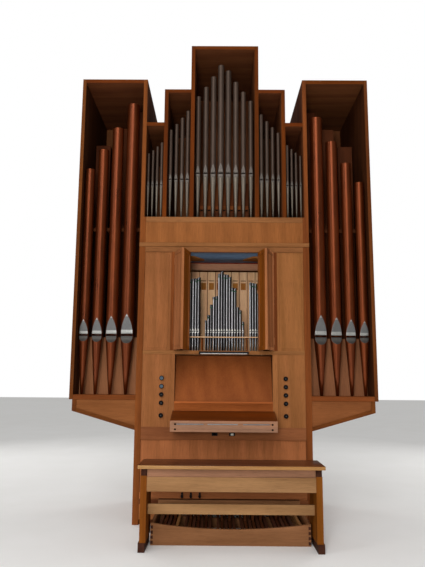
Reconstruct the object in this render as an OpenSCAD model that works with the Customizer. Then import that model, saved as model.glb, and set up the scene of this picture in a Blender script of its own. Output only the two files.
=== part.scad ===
// Free-standing pipe organ with two side towers, a stepped middle and a built-in console,
// with its pedalboard and bench.
// The origin is on the floor, under the middle of the main case. The player sits on the -Y side.

/* [Case] */
// Outer width of the main case
main_w = 1590; // [1500:5:1700]
// Depth of the case and of the towers
case_d = 1140; // [1000:10:1300]
// Outer width across both towers
overall_w = 2788; // [2600:4:3000]
// Thickness of the main side walls
side_wall_t = 38; // [30:1:45]
// Thickness of the walls between the middle fields
field_wall_t = 37; // [28:1:42]
// Thickness of the stepped back boards
back_t = 18; // [12:1:24]
// Thickness of the front frame
frame_t = 30; // [24:1:36]
// Clear width of the centre field
centre_field_w = 586; // [560:2:610]
// Clear width of each inner field
inner_field_w = 221; // [200:1:240]
// Room between the longest pipe and the roof of the centre field
centre_headroom = 145; // [60:1:200]
// Room between the longest pipe and the roof of an inner field
inner_headroom = 166; // [60:1:200]
// Room between the longest pipe and the roof of an outer field
outer_headroom = 150; // [60:1:200]
// Thickness of the field roofs
field_roof_t = 36; // [28:1:42]
// Height of the sill frame on the floor
sill_h = 45; // [35:1:60]
// Width of the members of the sill frame
sill_w = 90; // [70:1:120]

/* [Towers] */
// Thickness of the outer tower walls
tower_wall_t = 34; // [28:1:40]
// Room between the longest copper pipe and the tower roof
tower_headroom = 192; // [80:1:240]
// Underside of the tower floors above the floor
tower_floor_z = 1072; // [1000:1:1150]
// Thickness of the tower floors
tower_floor_t = 43; // [35:1:50]
// Thickness of the tower roofs
tower_roof_t = 38; // [30:1:45]
// Height of the bracket at its outer end
bracket_end_h = 101; // [80:1:130]
// Height of the bracket at the main case
bracket_root_h = 265; // [220:1:300]
// Distance from the tower's outer face to the bracket's outer end
bracket_inset = 30; // [10:1:50]
// Wall of the hollow bracket
bracket_wall = 20; // [16:1:28]
// Width of the rim round a bracket's sunk panel
bracket_rim = 44; // [35:1:52]
// Depth of a bracket's sunk panel
bracket_sink = 7; // [4:1:9]

/* [Front frame] */
// Width of the corner posts below the pipe fields
corner_w = 56; // [48:1:64]
// Top of the fascia board, where the tin pipes stand
fascia_top_z = 2775; // [2740:1:2800]
// Bottom of the fascia board
fascia_z = 2525; // [2500:1:2560]
// Bottom of the moulding under the fascia
moulding_z = 2486; // [2476:1:2496]
// How far the moulding stands out of the front
moulding_out = 9; // [5:1:14]
// Top of the cupboard opening
cupboard_top_z = 2437; // [2410:1:2450]
// Bottom of the cupboard opening
cupboard_z = 1518; // [1505:1:1540]
// Top of the console recess
recess_top_z = 1483; // [1460:1:1490]
// Half of the clear width of cupboard and recess
opening_half_w = 444; // [430:1:456]
// Width of the stiles beside cupboard and recess
stile_w = 47; // [40:1:54]
// Bottom of the console panels
console_z = 835; // [825:1:845]
// Bottom of the rail under the console panels
console_rail_z = 725; // [705:1:745]
// Thickness of the panels in the front
panel_t = 20; // [16:1:22]
// Depth of the panels behind the face of the frame
panel_sink = 5; // [3:1:8]
// Width of the sunk margin round a raised field
field_margin = 22; // [16:1:30]
// Height of the raised field over its margin
field_rise = 4; // [2:0.5:5]
// Bottom of the knee panel
knee_z = 279; // [270:1:290]
// Bottom of the toe rail
toe_rail_z = 224; // [205:1:235]
// How far the toe rail stands out of the knee panel
toe_rail_out = 16; // [10:1:20]

/* [Tin pipes] */
// Depth of the pipes' axes behind the front
tin_axis_y = 65; // [55:1:80]
// Wall of the tin pipes
tin_wall = 1.5; // [1:0.1:2]
// Mouth height above the pipe stand, centre field
centre_foot_l = 445; // [420:1:470]
// Longest body in the centre field
centre_body_l = 1128; // [1000:2:1200]
// Diameter of the longest pipe of the centre field
centre_pipe_d = 60; // [54:1:64]
// Mouth height above the pipe stand, inner fields
inner_foot_l = 384; // [360:1:410]
// Longest body in the inner fields
inner_body_l = 707; // [640:1:760]
// Diameter of the largest pipe of the inner fields
inner_pipe_d = 41; // [36:1:44]
// Mouth height above the pipe stand, outer fields
outer_foot_l = 329; // [300:1:350]
// Longest body in the outer fields
outer_body_l = 434; // [400:1:480]
// Diameter of the largest pipe of the outer fields
outer_pipe_d = 29; // [25:1:31]

/* [Copper pipes] */
// Depth of the copper pipes' axes behind the front
copper_axis_y = 100; // [90:1:120]
// Wall of the copper pipes
copper_wall = 2; // [1.5:0.1:3]
// Mouth height above the tower floor
copper_foot_l = 536; // [510:1:570]
// Longest copper body
copper_body_l = 2288; // [2100:2:2350]
// Gap between neighbouring copper pipes
copper_gap = 29; // [20:1:38]
// Gap between the outermost copper pipe and the tower wall
copper_edge_gap = 10; // [6:1:20]
// Gap between the longest copper pipe and the main case
copper_case_gap = 44; // [30:1:60]
// Height of the tin lip over the mouth of the longest pipe
upper_lip_h = 183; // [150:1:200]
// Height of the tin lip under the mouth of the longest pipe
lower_lip_h = 70; // [60:1:80]
// Height of the rack rail behind the copper pipes
tower_rack_z = 2670; // [2600:5:2750]
// Height of the top of the chests behind the copper feet
tower_chest_top_z = 1650; // [1600:5:1670]
// Depth of the front of these chests behind the case front
tower_chest_y = 240; // [200:5:280]
// Depth of these chests
tower_chest_d = 520; // [440:5:600]

/* [Cupboard] */
// Depth of the cupboard behind the front
cupboard_d = 600; // [560:5:700]
// Thickness of the cupboard's boards
cupboard_board_t = 18; // [14:1:22]
// Depth of the front row of small pipes
small_row_y = 120; // [110:1:130]
// Distance between the rows of small pipes
small_row_pitch = 60; // [55:1:75]
// Height of the small pipes' mouths above the chest
small_foot_l = 190; // [175:1:205]
// Longest small body
small_body_l = 570; // [500:1:600]
// Diameter of the longest small pipe
small_pipe_d = 22; // [18:1:23]
// Distance between small pipes in a row
small_pitch = 25; // [24:0.5:26]
// Width of a square wooden pipe
wood_pipe_w = 74; // [68:1:76]
// Distance between the wooden pipes
wood_pipe_pitch = 80; // [78:1:84]
// Depth of a square wooden pipe
wood_pipe_d = 64; // [50:1:66]
// Top of the wooden pipes
wood_pipe_top_z = 2333; // [2280:1:2345]
// Width of one leaf of the folding doors
leaf_w = 216; // [206:1:220]
// Thickness of a leaf
leaf_t = 20; // [16:1:22]
// Turn of the outer leaves away from the closed door
leaf_turn = 68.5; // [50:0.5:72]
// Turn of the inner leaves away from the closed door
inner_leaf_turn = 76.4; // [60:0.1:80]

/* [Console] */
// Width of the key desk
key_desk_w = 916; // [900:1:930]
// How far the key desk stands out of the front
key_desk_out = 280; // [260:1:300]
// Underside of the key desk above the floor
key_desk_z = 816; // [805:1:830]
// Height of the key desk's front board
key_front_h = 93; // [85:1:100]
// Rise of the sloped cover from front to back
cover_rise = 71; // [60:1:80]
// Thickness of the key desk's boards
key_board_t = 18; // [14:1:20]
// Height of the top of the music ledge
ledge_z = 1063; // [1055:1:1075]
// Lean of the music desk away from the player
desk_lean = 16; // [10:1:18]
// Height of the topmost knob above the floor
knob_top_z = 1268; // [1255:1:1280]
// Distance between the knobs of the upper group
knob_pitch = 73.6; // [68:0.1:76]
// Height of the lowest knob above the floor
knob_low_z = 937; // [915:1:945]
// Distance of the knobs from the middle of the console
knob_x = 561; // [552:1:640]
// Diameter of a knob's head
knob_d = 42; // [34:1:46]
// Diameter of a knob's stem
knob_stem_d = 14; // [10:1:16]
// Clearance round a stem in its bore
knob_clear = 0.3; // [0.2:0.05:0.4]
// Length of the lamp over the recess
lamp_l = 452; // [400:2:500]

/* [Pedalboard] */
// Gap between the pedalboard and the legs of the bench that straddles it
bench_gap = 14.5; // [12:0.5:30]
// Shift of the pedalboard and bench from the middle of the case
pedal_x = 51; // [0:1:70]
// Distance of the pedalboard's front board from the case front
pedal_out = 650; // [620:1:680]
// Height of the front board at its ends
pedal_end_h = 162; // [150:1:175]
// Sag of the front board's top edge
pedal_sag = 43; // [30:1:55]
// Thickness of the pedalboard's frame
pedal_frame_t = 25; // [20:1:30]
// Least gap between the pedalboard's side boards and the outermost keys
key_edge_gap = 10; // [8:1:30]
// Distance between natural keys
pedal_pitch = 64; // [62:0.5:65]
// Width of a natural key
natural_w = 22; // [18:1:24]
// Height of a natural key
natural_h = 34; // [28:1:38]
// Length of the raised cap of a sharp key
sharp_l = 190; // [150:5:220]
// Height of a sharp key's cap over the naturals
sharp_h = 34; // [28:1:42]

// Height of the board over the keys' back ends
key_cover_h = 38; // [30:1:50]
// How far that board stands out from the case front
key_cover_out = 40; // [30:1:60]

/* [Bench] */
// Length of the seat
seat_l = 1394; // [1370:1:1440]
// Depth of the seat
seat_d = 385; // [350:1:400]
// Thickness of the seat
seat_t = 25; // [20:1:30]
// Height of the seat's top
seat_z = 621; // [600:1:650]
// Distance of the bench's front from the case front
bench_out = 895; // [880:1:910]
// Distance of a leg's outer face from the seat's end
leg_inset = 19; // [15:1:35]
// Width of a leg
leg_w = 47; // [40:1:55]
// Extra width of the feet on their outer side
foot_out = 8; // [5:1:18]
// Height of the feet
foot_h = 66; // [55:1:80]
// Underside of the lower apron
apron_z = 428; // [415:1:440]
// Line between the two aprons
apron_step_z = 535; // [520:1:545]
// Thickness of the aprons
apron_t = 20; // [16:1:24]
// Underside of the stretcher
stretcher_z = 249; // [235:1:260]
// Height of the stretcher
stretcher_h = 74; // [60:1:85]
// Distance of the stretcher behind the front apron
stretcher_in = 96; // [60:1:140]

/* [Hidden] */
$fn = 48;
eps = 0.01;

front_y = -case_d / 2;
main_half = main_w / 2;
wall_in = main_half - side_wall_t;
tower_half = overall_w / 2;
tower_in = tower_half - tower_wall_t;
// Walls between the fields, given by their inner faces
inner_wall_x = centre_field_w / 2;
outer_wall_x = inner_wall_x + field_wall_t + inner_field_w;
outer_field_x = outer_wall_x + field_wall_t;
corner_in = main_half - corner_w;
stile_out = opening_half_w + stile_w;
back_y = case_d - back_t;
tower_stand_z = tower_floor_z + tower_floor_t;
tower_room_w = tower_in - main_half;
tower_top_z = tower_stand_z + copper_foot_l + copper_body_l + tower_headroom + tower_roof_t;
centre_top_z = fascia_top_z + centre_foot_l + centre_body_l + centre_headroom + field_roof_t;
inner_top_z = fascia_top_z + inner_foot_l + inner_body_l + inner_headroom + field_roof_t;
outer_top_z = fascia_top_z + outer_foot_l + outer_body_l + outer_headroom + field_roof_t;
pedal_w = seat_l - 2 * (leg_inset + leg_w + bench_gap);
LEFT = -1;
RIGHT = 1;
oak = [0.60, 0.36, 0.19];
oak_dark = [0.42, 0.20, 0.08];
pale_wood = [0.80, 0.62, 0.36];
tin = [0.55, 0.54, 0.52];
copper = [0.45, 0.18, 0.09];
black = [0.05, 0.05, 0.05];

// A board between two faces along each axis, with y counted backwards from the case front
module board(x, y, z)
    translate([x[0], front_y + y[0], z[0]])
        cube([x[1] - x[0], y[1] - y[0], z[1] - z[0]]);

// Children drawn for the right side are turned over for the left side
module on_side(side)
    mirror([side < 0 ? 1 : 0, 0, 0])
        children();

module both_sides()
    for (side = [LEFT, RIGHT])
        on_side(side)
            children();

// A plate standing in the front, its outline drawn in x and z
module upright(y0, thickness)
    translate([0, front_y + y0 + thickness, 0])
        rotate([90, 0, 0])
            linear_extrude(thickness)
                children();

// Case

// Sill frame on the floor, with one member under the origin
module base_frame()
    color(oak_dark) {
        difference() {
            board([-wall_in, wall_in], [frame_t, back_y], [0, sill_h]);
            for (half = [0, 1])
                board([sill_w - wall_in, wall_in - sill_w],
                      [half * case_d / 2 + sill_w, half * (back_y - case_d / 2) + case_d / 2 - sill_w],
                      [-1, sill_h + 1]);
        }
    }

// Main side walls and the walls between the fields
module case_walls()
    color(oak)
        both_sides() {
            board([wall_in, main_half], [frame_t, case_d], [0, tower_top_z]);
            board([inner_wall_x, inner_wall_x + field_wall_t], [0, back_y], [fascia_top_z, centre_top_z]);
            board([outer_wall_x, outer_field_x], [0, back_y], [fascia_top_z, inner_top_z]);
        }

// Roof boards of the fields and of the towers
module roofs()
    color(oak) {
        board([-inner_wall_x, inner_wall_x], [0, back_y], [centre_top_z - field_roof_t, centre_top_z]);
        both_sides() {
            board([inner_wall_x + field_wall_t, outer_wall_x], [0, back_y],
                  [inner_top_z - field_roof_t, inner_top_z]);
            board([outer_field_x, wall_in], [0, back_y], [outer_top_z - field_roof_t, outer_top_z]);
            board([main_half, tower_in], [0, back_y], [tower_top_z - tower_roof_t, tower_top_z]);
        }
    }

// Back of the main case, one board to each field, and the backs of both towers
back_seam = 0.3;
module back_boards()
    color(oak) {
        board([-inner_wall_x - field_wall_t, inner_wall_x + field_wall_t], [back_y, case_d],
              [0, centre_top_z]);
        both_sides() {
            board([inner_wall_x + field_wall_t + back_seam, outer_field_x], [back_y, case_d],
                  [0, inner_top_z]);
            board([outer_field_x + back_seam, wall_in], [back_y, case_d], [0, outer_top_z]);
            board([main_half, tower_in], [back_y, case_d], [tower_floor_z, tower_top_z]);
        }
    }

// Outer walls of the towers
module tower_walls()
    color(oak)
        both_sides()
            board([tower_in, tower_half], [0, case_d], [tower_floor_z, tower_top_z]);

// Floors that the copper pipes stand on
module tower_floors()
    color(oak_dark)
        both_sides()
            board([main_half, tower_in], [0, back_y], [tower_floor_z, tower_stand_z]);

// Outline of a bracket under the right tower
module bracket_outline()
    polygon([
        [main_half, tower_floor_z],
        [tower_half - bracket_inset, tower_floor_z],
        [tower_half - bracket_inset, tower_floor_z - bracket_end_h],
        [main_half, tower_floor_z - bracket_root_h]
    ]);

// Hollow brackets with a sloped underside, closed above by the tower floors
module tower_brackets()
    color(oak)
        both_sides()
            difference() {
                upright(0, case_d)
                    bracket_outline();
                upright(bracket_wall, case_d - 2 * bracket_wall)
                    intersection() {
                        offset(delta = -bracket_wall)
                            bracket_outline();
                        translate([main_half, 0])
                            square([tower_half, tower_floor_z]);
                    }
                for (face_y = [-1, case_d - bracket_sink])
                    upright(face_y, bracket_sink + 1)
                        offset(delta = -bracket_rim)
                            bracket_outline();
            }

// Chests behind the feet of the copper pipes
module tower_chests()
    color(oak)
        both_sides()
            board([main_half, tower_in], [tower_chest_y, tower_chest_y + tower_chest_d],
                  [tower_stand_z, tower_chest_top_z]);

// Rails that hold the copper pipes from behind
tower_rack_gap = 1;
tower_rack_t = 21;
tower_rack_h = 36;
module tower_racks()
    color(oak_dark)
        both_sides() {
            y = copper_axis_y + copper_pipe_d / 2 + tower_rack_gap;
            board([main_half, tower_in], [y, y + tower_rack_t], [tower_rack_z, tower_rack_z + tower_rack_h]);
        }

// Square wooden pipes: large stopped ones behind the copper pipes, and small ones behind the feet
// of the centre field
bass_count = 3;
bass_gap = 38;
bass_w = tower_room_w / bass_count - bass_gap;
bass_d = 188;
bass_headroom = 71;
// Each large wooden pipe is this much shorter than its inner neighbour
bass_fall = 190;
bass_back_gap = 82;
bass_y = tower_chest_y + tower_chest_d - bass_back_gap - bass_d;
treble_y = 190;
treble_d = 60;
treble_w = 34;
treble_h = 397;
module bass_pipes()
    color(oak_dark) {
        both_sides()
            for (i = [0 : bass_count - 1]) {
                x = main_half + bass_gap / 2 + i * (bass_w + bass_gap);
                board([x, x + bass_w], [bass_y, bass_y + bass_d],
                      [tower_chest_top_z, tower_top_z - tower_roof_t - bass_headroom - i * bass_fall]);
            }
        for (i = [1 : len(centre_shares) - 1])
            board([centre_x(i - 0.5) - treble_w / 2, centre_x(i - 0.5) + treble_w / 2],
                  [treble_y, treble_y + treble_d],
                  [fascia_top_z, fascia_top_z + treble_h]);
    }

// Front of the main case

// Corner posts up to the tower roofs and the stiles beside cupboard and recess
module front_posts()
    color(oak)
        both_sides() {
            upright(0, frame_t)
                polygon([
                    [corner_in, 0], [main_half, 0], [main_half, tower_top_z], [wall_in, tower_top_z],
                    [wall_in, fascia_top_z], [corner_in, fascia_top_z]
                ]);
            board([opening_half_w, stile_out], [0, frame_t], [cupboard_z, cupboard_top_z]);
            board([opening_half_w, stile_out], [0, frame_t], [console_z, recess_top_z]);
        }

// Rails between the corner posts
module front_rails()
    color(oak) {
        board([-corner_in, corner_in], [0, frame_t], [cupboard_top_z, moulding_z]);
        board([-corner_in, corner_in], [0, frame_t], [recess_top_z, cupboard_z]);
        board([-corner_in, corner_in], [0, frame_t], [console_rail_z, console_z]);
    }

// Fascia board under the tin pipes, with a rounded moulding along its lower edge
module fascia()
    color(oak) {
        board([-corner_in, corner_in], [0, frame_t], [moulding_z, fascia_top_z]);
        difference() {
            union() {
                board([-main_half, main_half], [-moulding_out, 0], [moulding_z + moulding_out, fascia_z]);
                translate([-main_half, front_y, moulding_z + moulding_out])
                    rotate([0, 90, 0])
                        cylinder(r = moulding_out, h = main_w);
            }
            board([-main_half - 1, main_half + 1], [0, 2 * moulding_out], [moulding_z - 1, fascia_z]);
        }
    }

// A panel with a raised field
module raised_panel(x, z) {
    board(x, [panel_sink + field_rise, panel_sink + panel_t], z);
    board([x[0] + field_margin, x[1] - field_margin], [panel_sink, panel_sink + panel_t],
          [z[0] + field_margin, z[1] - field_margin]);
}

// Panels beside the cupboard
module side_panels()
    color(oak)
        both_sides()
            raised_panel([stile_out, corner_in], [cupboard_z, cupboard_top_z]);

// Height of each knob of a column, from the top down
function knob_z(i) = i < 4 ? knob_top_z - i * knob_pitch : knob_low_z;

// Panels beside the recess, with a bore for each knob's stem
module console_panels()
    color(oak)
        both_sides()
            difference() {
                board([stile_out, corner_in], [panel_sink, panel_sink + panel_t], [console_z, recess_top_z]);
                for (i = [0 : 4])
                    translate([knob_x, front_y, knob_z(i)])
                        rotate([-90, 0, 0])
                            cylinder(d = knob_stem_d + 2 * knob_clear, h = frame_t + panel_t);
            }

// Panel in front of the knees, with the thicker toe rail along its bottom
module knee_panel()
    color(oak) {
        board([-corner_in, corner_in], [frame_t - panel_t + 6, frame_t + 6], [toe_rail_z, console_rail_z]);
        board([-corner_in, corner_in], [frame_t - panel_t + 6 - toe_rail_out, frame_t + 6],
              [toe_rail_z, knee_z]);
    }

// Chest behind the fascia, which carries the tin pipes
chest_d = 620;
chest_h = 210;
module great_chest()
    color(oak_dark)
        board([-wall_in, wall_in], [frame_t, frame_t + chest_d], [fascia_top_z - chest_h, fascia_top_z]);

// Pipes

// Pointed outline of an upper lip, its foot on the x axis
module upper_lip_outline(w, h) {
    r = (h * h + w * w / 4) / w;
    intersection() {
        translate([w / 2 - r, 0])
            circle(r, $fn = 96);
        translate([r - w / 2, 0])
            circle(r, $fn = 96);
        translate([-w / 2, 0])
            square([w, h]);
    }
}

// Round outline of a lower lip, hanging from the x axis
module lower_lip_outline(w, h) {
    translate([-w / 2, w / 2 - h])
        square([w, h - w / 2]);
    translate([0, w / 2 - h])
        circle(d = w);
}

// A metal pipe on its toe: a conical foot, a languid, and an open body with a mouth towards the player
module metal_pipe(d, foot_l, body_l, wall, toe_d, mouth_w, cut_up) {
    r = d / 2;
    languid_t = 2 * wall;
    difference() {
        rotate_extrude()
            polygon([
                [toe_d / 2 - wall, 0], [toe_d / 2, 0], [r, foot_l], [r, foot_l + body_l],
                [r - wall, foot_l + body_l], [r - wall, foot_l + languid_t], [0, foot_l + languid_t],
                [0, foot_l], [r - wall, foot_l]
            ]);
        translate([-mouth_w / 2, -d, foot_l + languid_t])
            cube([mouth_w, d, cut_up]);
    }
}

// Small ears on both sides of a mouth
module pipe_ears(d, foot_l, mouth_w, cut_up, ear_t)
    for (side = [LEFT, RIGHT])
        on_side(side)
            translate([mouth_w / 2, -sqrt(d * d - mouth_w * mouth_w) / 2 - 0.12 * d, foot_l - cut_up])
                cube([ear_t, 0.15 * d, 3 * cut_up]);

// Share of a pipe's diameter that its mouth takes, and of the mouth's width that its height takes
mouth_share = 0.76;
cut_share = 0.22;
// The same for the copper pipes, whose lips are this much wider than the mouth
copper_mouth_share = 0.84;
copper_cut_share = 0.15;
lip_over_share = 0.06;

module tin_pipe(d, foot_l, body_l) {
    mouth_w = mouth_share * d;
    cut_up = cut_share * mouth_w;
    metal_pipe(d, foot_l, body_l, tin_wall, d / 3, mouth_w, cut_up);
    pipe_ears(d, foot_l, mouth_w, cut_up, tin_wall);
}

// Places a pipe's toe
module stand_at(x, y, z)
    translate([x, front_y + y, z])
        children();

// Length of each pipe of the centre field as a share of the longest, and its place in the row
centre_shares = [0.706, 0.794, 0.892, 1, 0.948, 0.842, 0.75, 0.667];
centre_pitch = centre_field_w / len(centre_shares);
function centre_x(i) = (i - (len(centre_shares) - 1) / 2) * centre_pitch;

module tin_pipes_centre()
    color(tin)
        for (i = [0 : len(centre_shares) - 1])
            stand_at(centre_x(i), tin_axis_y, fascia_top_z)
                tin_pipe(centre_pipe_d * pow(centre_shares[i], 0.75), centre_foot_l,
                         centre_body_l * centre_shares[i]);

// A row of pipes in a side field, longest beside the middle
side_row_count = 4;
module tin_row(side, x, w, d, foot_l, body_l, step)
    for (i = [0 : side_row_count - 1]) {
        share = pow(step, -i);
        stand_at(side * (x + w * (i + 0.5) / side_row_count), tin_axis_y, fascia_top_z)
            tin_pipe(d * pow(share, 0.75), foot_l, body_l * share);
    }

// The left rows are a step longer than the right ones
inner_step = 1.115;
outer_step = 1.105;
side_gap = 0.95;
module tin_pipes_sides()
    color(tin)
        for (side = [LEFT, RIGHT]) {
            share = side == LEFT ? 1 : side_gap;
            tin_row(side, inner_wall_x + field_wall_t, inner_field_w, inner_pipe_d, inner_foot_l,
                    inner_body_l * share, inner_step);
            tin_row(side, outer_field_x, wall_in - outer_field_x, outer_pipe_d, outer_foot_l,
                    outer_body_l * share, outer_step);
        }

// Copper pipes of a tower, longest beside the main case
copper_count = 4;
// Each copper pipe is this much shorter than its inner neighbour, on the left and on the right
copper_step = [1.122, 1.129];
copper_right_share = 0.942;
function copper_index(side) = side == LEFT ? 0 : 1;
function copper_share(side, i) =
    (side == LEFT ? 1 : copper_right_share) * pow(copper_step[copper_index(side)], -i);
function copper_scale(i) = pow(copper_step[0], -0.85 * i);
function copper_sum(i) = copper_scale(i) + (i > 0 ? copper_sum(i - 1) : 0);
// The pipes and their gaps fill the width of the tower
copper_pipe_d = (tower_room_w - copper_case_gap - (copper_count - 1) * copper_gap - copper_edge_gap)
    / copper_sum(copper_count - 1);
function copper_d(i) = copper_pipe_d * copper_scale(i);
// The outermost pipe stands beside the tower's outer wall, and the others follow at equal gaps
function copper_x(i) =
    i == copper_count - 1 ? tower_in - copper_edge_gap - copper_d(i) / 2
    : copper_x(i + 1) - copper_d(i + 1) / 2 - copper_gap - copper_d(i) / 2;
copper_toe_d = 26;

module copper_row(side)
    for (i = [0 : copper_count - 1]) {
        d = copper_d(i);
        stand_at(side * copper_x(i), copper_axis_y, tower_stand_z)
            metal_pipe(d, copper_foot_l, copper_body_l * copper_share(side, i), copper_wall, copper_toe_d,
                       copper_mouth_share * d, copper_cut_share * copper_mouth_share * d);
    }

module copper_pipes_left()
    color(copper)
        copper_row(LEFT);

module copper_pipes_right()
    color(copper)
        copper_row(RIGHT);

// Thickness of the tin lips and the gap under them
lip_t = 1.5;
lip_gap = 0.2;

// The tin lips of one copper pipe, bent round its body and its foot
module pipe_lips(d, foot_l, cut_up, scale_by) {
    r = d / 2;
    w = (copper_mouth_share + lip_over_share) * d;
    up_z = foot_l + 2 * copper_wall + cut_up;
    low_h = lower_lip_h * scale_by;
    taper = (r - copper_toe_d / 2) / foot_l;
    intersection() {
        rotate_extrude()
            translate([r + lip_gap, up_z])
                square([lip_t, upper_lip_h * scale_by]);
        translate([0, 0, up_z])
            rotate([90, 0, 0])
                linear_extrude(d)
                    upper_lip_outline(w, upper_lip_h * scale_by);
    }
    intersection() {
        rotate_extrude()
            polygon([
                [r + lip_gap, foot_l], [r + lip_gap + lip_t, foot_l],
                [r + lip_gap + lip_t - taper * low_h, foot_l - low_h],
                [r + lip_gap - taper * low_h, foot_l - low_h]
            ]);
        translate([0, 0, foot_l])
            rotate([90, 0, 0])
                linear_extrude(d)
                    lower_lip_outline(w, low_h);
    }
}

module copper_lips()
    color(tin)
        for (side = [LEFT, RIGHT])
            for (i = [0 : copper_count - 1]) {
                d = copper_d(i);
                stand_at(side * copper_x(i), copper_axis_y, tower_stand_z)
                    pipe_lips(d, copper_foot_l, copper_cut_share * copper_mouth_share * d, copper_scale(i));
            }

// Cupboard over the console

cupboard_half = stile_out - 3;
// Floor of the cupboard, over the music desk
chest_z = recess_top_z + 4;
chest_top_z = cupboard_z - 10;
ceiling_z = cupboard_top_z + 8;
beam_h = 79;

// Side walls of the cupboard
module cupboard_sides()
    color(pale_wood)
        both_sides()
            board([cupboard_half - cupboard_board_t, cupboard_half], [frame_t, cupboard_d],
                  [chest_z, ceiling_z]);

// Ceiling, with the beam that steadies the wooden pipes and a brace in each corner
brace_t = 12;
brace_y = [220, 440];
brace_tip_y = [380, 400];
brace_tip_x = 192;
brace_front_w = 182;
module cupboard_ceiling()
    color([0.20, 0.24, 0.30]) {
        both_sides()
            translate([0, front_y, ceiling_z - brace_t])
                linear_extrude(brace_t + eps)
                    polygon([
                        [cupboard_half - cupboard_board_t, brace_y[0]],
                        [cupboard_half - cupboard_board_t - brace_front_w, brace_y[0]],
                        [brace_tip_x, brace_tip_y[0]], [brace_tip_x, brace_tip_y[1]],
                        [cupboard_half - cupboard_board_t, brace_y[1]]
                    ]);
        board([-cupboard_half, cupboard_half], [frame_t, cupboard_d],
              [ceiling_z, ceiling_z + cupboard_board_t]);
        board([-cupboard_half + cupboard_board_t, cupboard_half - cupboard_board_t],
              [cupboard_d - 50, cupboard_d - 25], [ceiling_z - beam_h, ceiling_z + eps]);
    }

// Depth of the rows of small pipes
function small_y(row) = small_row_y + row * small_row_pitch;
small_rows = 2;
rack_lift = 136;
rack_z = chest_top_z + rack_lift;
rack_t = 8;
rack_post_d = 12;
rack_margin = 32;

// Places of the small pipes: the middle group falls away on both sides, and a taller group stands at each end
middle_left = 6;
middle_right = 8;
end_count = 4;
end_gap = 44;
// The second row's bodies are longer by this share
row_growth = 0.03;
// Body lengths against the longest one: left end group, middle group up and down, right end group
small_shares = [
    0.87, 0.88, 0.88, 0.90,
    0.19, 0.28, 0.45, 0.58, 0.59, 0.965, 1, 0.95, 0.945, 0.91, 0.73, 0.72, 0.41, 0.36, 0.17,
    0.82, 0.81, 0.80, 0.64
];
// Numbers run from the left end group through the middle group to the right end group
small_first = -middle_left - end_count;
small_last = middle_right + end_count;
small_x0 = -20;
function small_middle(i) = i >= -middle_left && i <= middle_right;
function small_x(i, row) =
    small_x0 + i * small_pitch + (small_middle(i) ? 0 : sign(i) * end_gap) + row * small_pitch / 3;
function small_share(i) = small_shares[i - small_first];
function small_d(i) = small_pipe_d * pow(small_share(i), 0.25);

// Chest with the rack board that stands over it on four posts
module cupboard_chest()
    color(pale_wood) {
        board([-cupboard_half + cupboard_board_t, cupboard_half - cupboard_board_t],
              [frame_t + 6, cupboard_d], [chest_z, chest_top_z]);
        for (row = [0 : small_rows - 1])
            for (i = [-middle_left - 1, middle_right])
                translate([(small_x(i, row) + small_x(i + 1, row)) / 2, front_y + small_y(row),
                           chest_top_z - eps])
                    cylinder(d = rack_post_d, h = rack_z - chest_top_z + 2 * eps);
        difference() {
            board([small_x(small_first, 0) - rack_margin, small_x(small_last, small_rows - 1) + rack_margin],
                  [small_row_y - rack_margin, small_y(small_rows - 1) + rack_margin],
                  [rack_z, rack_z + rack_t]);
            for (row = [0 : small_rows - 1])
                for (i = [small_first : small_last])
                    translate([small_x(i, row), front_y + small_y(row), rack_z - 1])
                        cylinder(d = small_d(i) + 0.6, h = rack_t + 2);
        }
    }

// Square wooden pipes at the back of the cupboard, each with its mouth and cap
wood_pipe_count = 10;
// Distance of the pipes' backs from the back of the cupboard
wood_pipe_back_gap = 60;
wood_mouth_z = 2240;
wood_mouth_h = 8;
wood_mouth_inset = 10;
wood_cap_w = 50;
wood_cap_t = 7;
// Bottom and top of the cap under the mouth's lower edge
wood_cap_drop = [88, 20];
module wooden_pipe(x) {
    y = cupboard_d - wood_pipe_back_gap - wood_pipe_d;
    difference() {
        board([x - wood_pipe_w / 2, x + wood_pipe_w / 2], [y, y + wood_pipe_d],
              [chest_top_z, wood_pipe_top_z]);
        board([x - wood_pipe_w / 2 + wood_mouth_inset, x + wood_pipe_w / 2 - wood_mouth_inset],
              [y - 1, y + 12], [wood_mouth_z, wood_mouth_z + wood_mouth_h]);
    }
    board([x - wood_cap_w / 2, x + wood_cap_w / 2], [y - wood_cap_t, y + eps],
          [wood_mouth_z - wood_cap_drop[0], wood_mouth_z - wood_cap_drop[1]]);
}

module wooden_pipes()
    color(pale_wood)
        for (i = [0 : wood_pipe_count - 1])
            wooden_pipe((i - (wood_pipe_count - 1) / 2) * wood_pipe_pitch);

// Two rows of small metal pipes
module small_pipes()
    color(tin)
        for (row = [0 : small_rows - 1])
            for (i = [small_first : small_last]) {
                d = small_d(i);
                stand_at(small_x(i, row), small_y(row), chest_top_z)
                    metal_pipe(d, small_foot_l, small_body_l * small_share(i) * (1 + row_growth * row), 1, 8,
                               mouth_share * d, 0.3 * d);
            }

// Folding doors

leaf_gap = 3;
leaf_h = cupboard_top_z - cupboard_z - 2 * leaf_gap;
leaf_rim = 34;
// Where the two leaves of a door meet
fold_x = leaf_w * cos(leaf_turn);
fold_y = leaf_w * sin(leaf_turn);

// One leaf with a sunk panel on its show side, hinged along its edge at x 0 and reaching to -x
module door_leaf()
    difference() {
        translate([-leaf_w + leaf_gap, 0, 0])
            cube([leaf_w - 2 * leaf_gap, leaf_t, leaf_h]);
        translate([-leaf_w + leaf_gap + leaf_rim, -1, leaf_rim])
            cube([leaf_w - 2 * leaf_gap - 2 * leaf_rim, 5, leaf_h - 2 * leaf_rim]);
    }

// Hinges of an outer leaf: a plate on the stile and a barrel in front of it
hinge_l = 64;
hinge_d = 10;
hinge_x = opening_half_w + 1;
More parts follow.
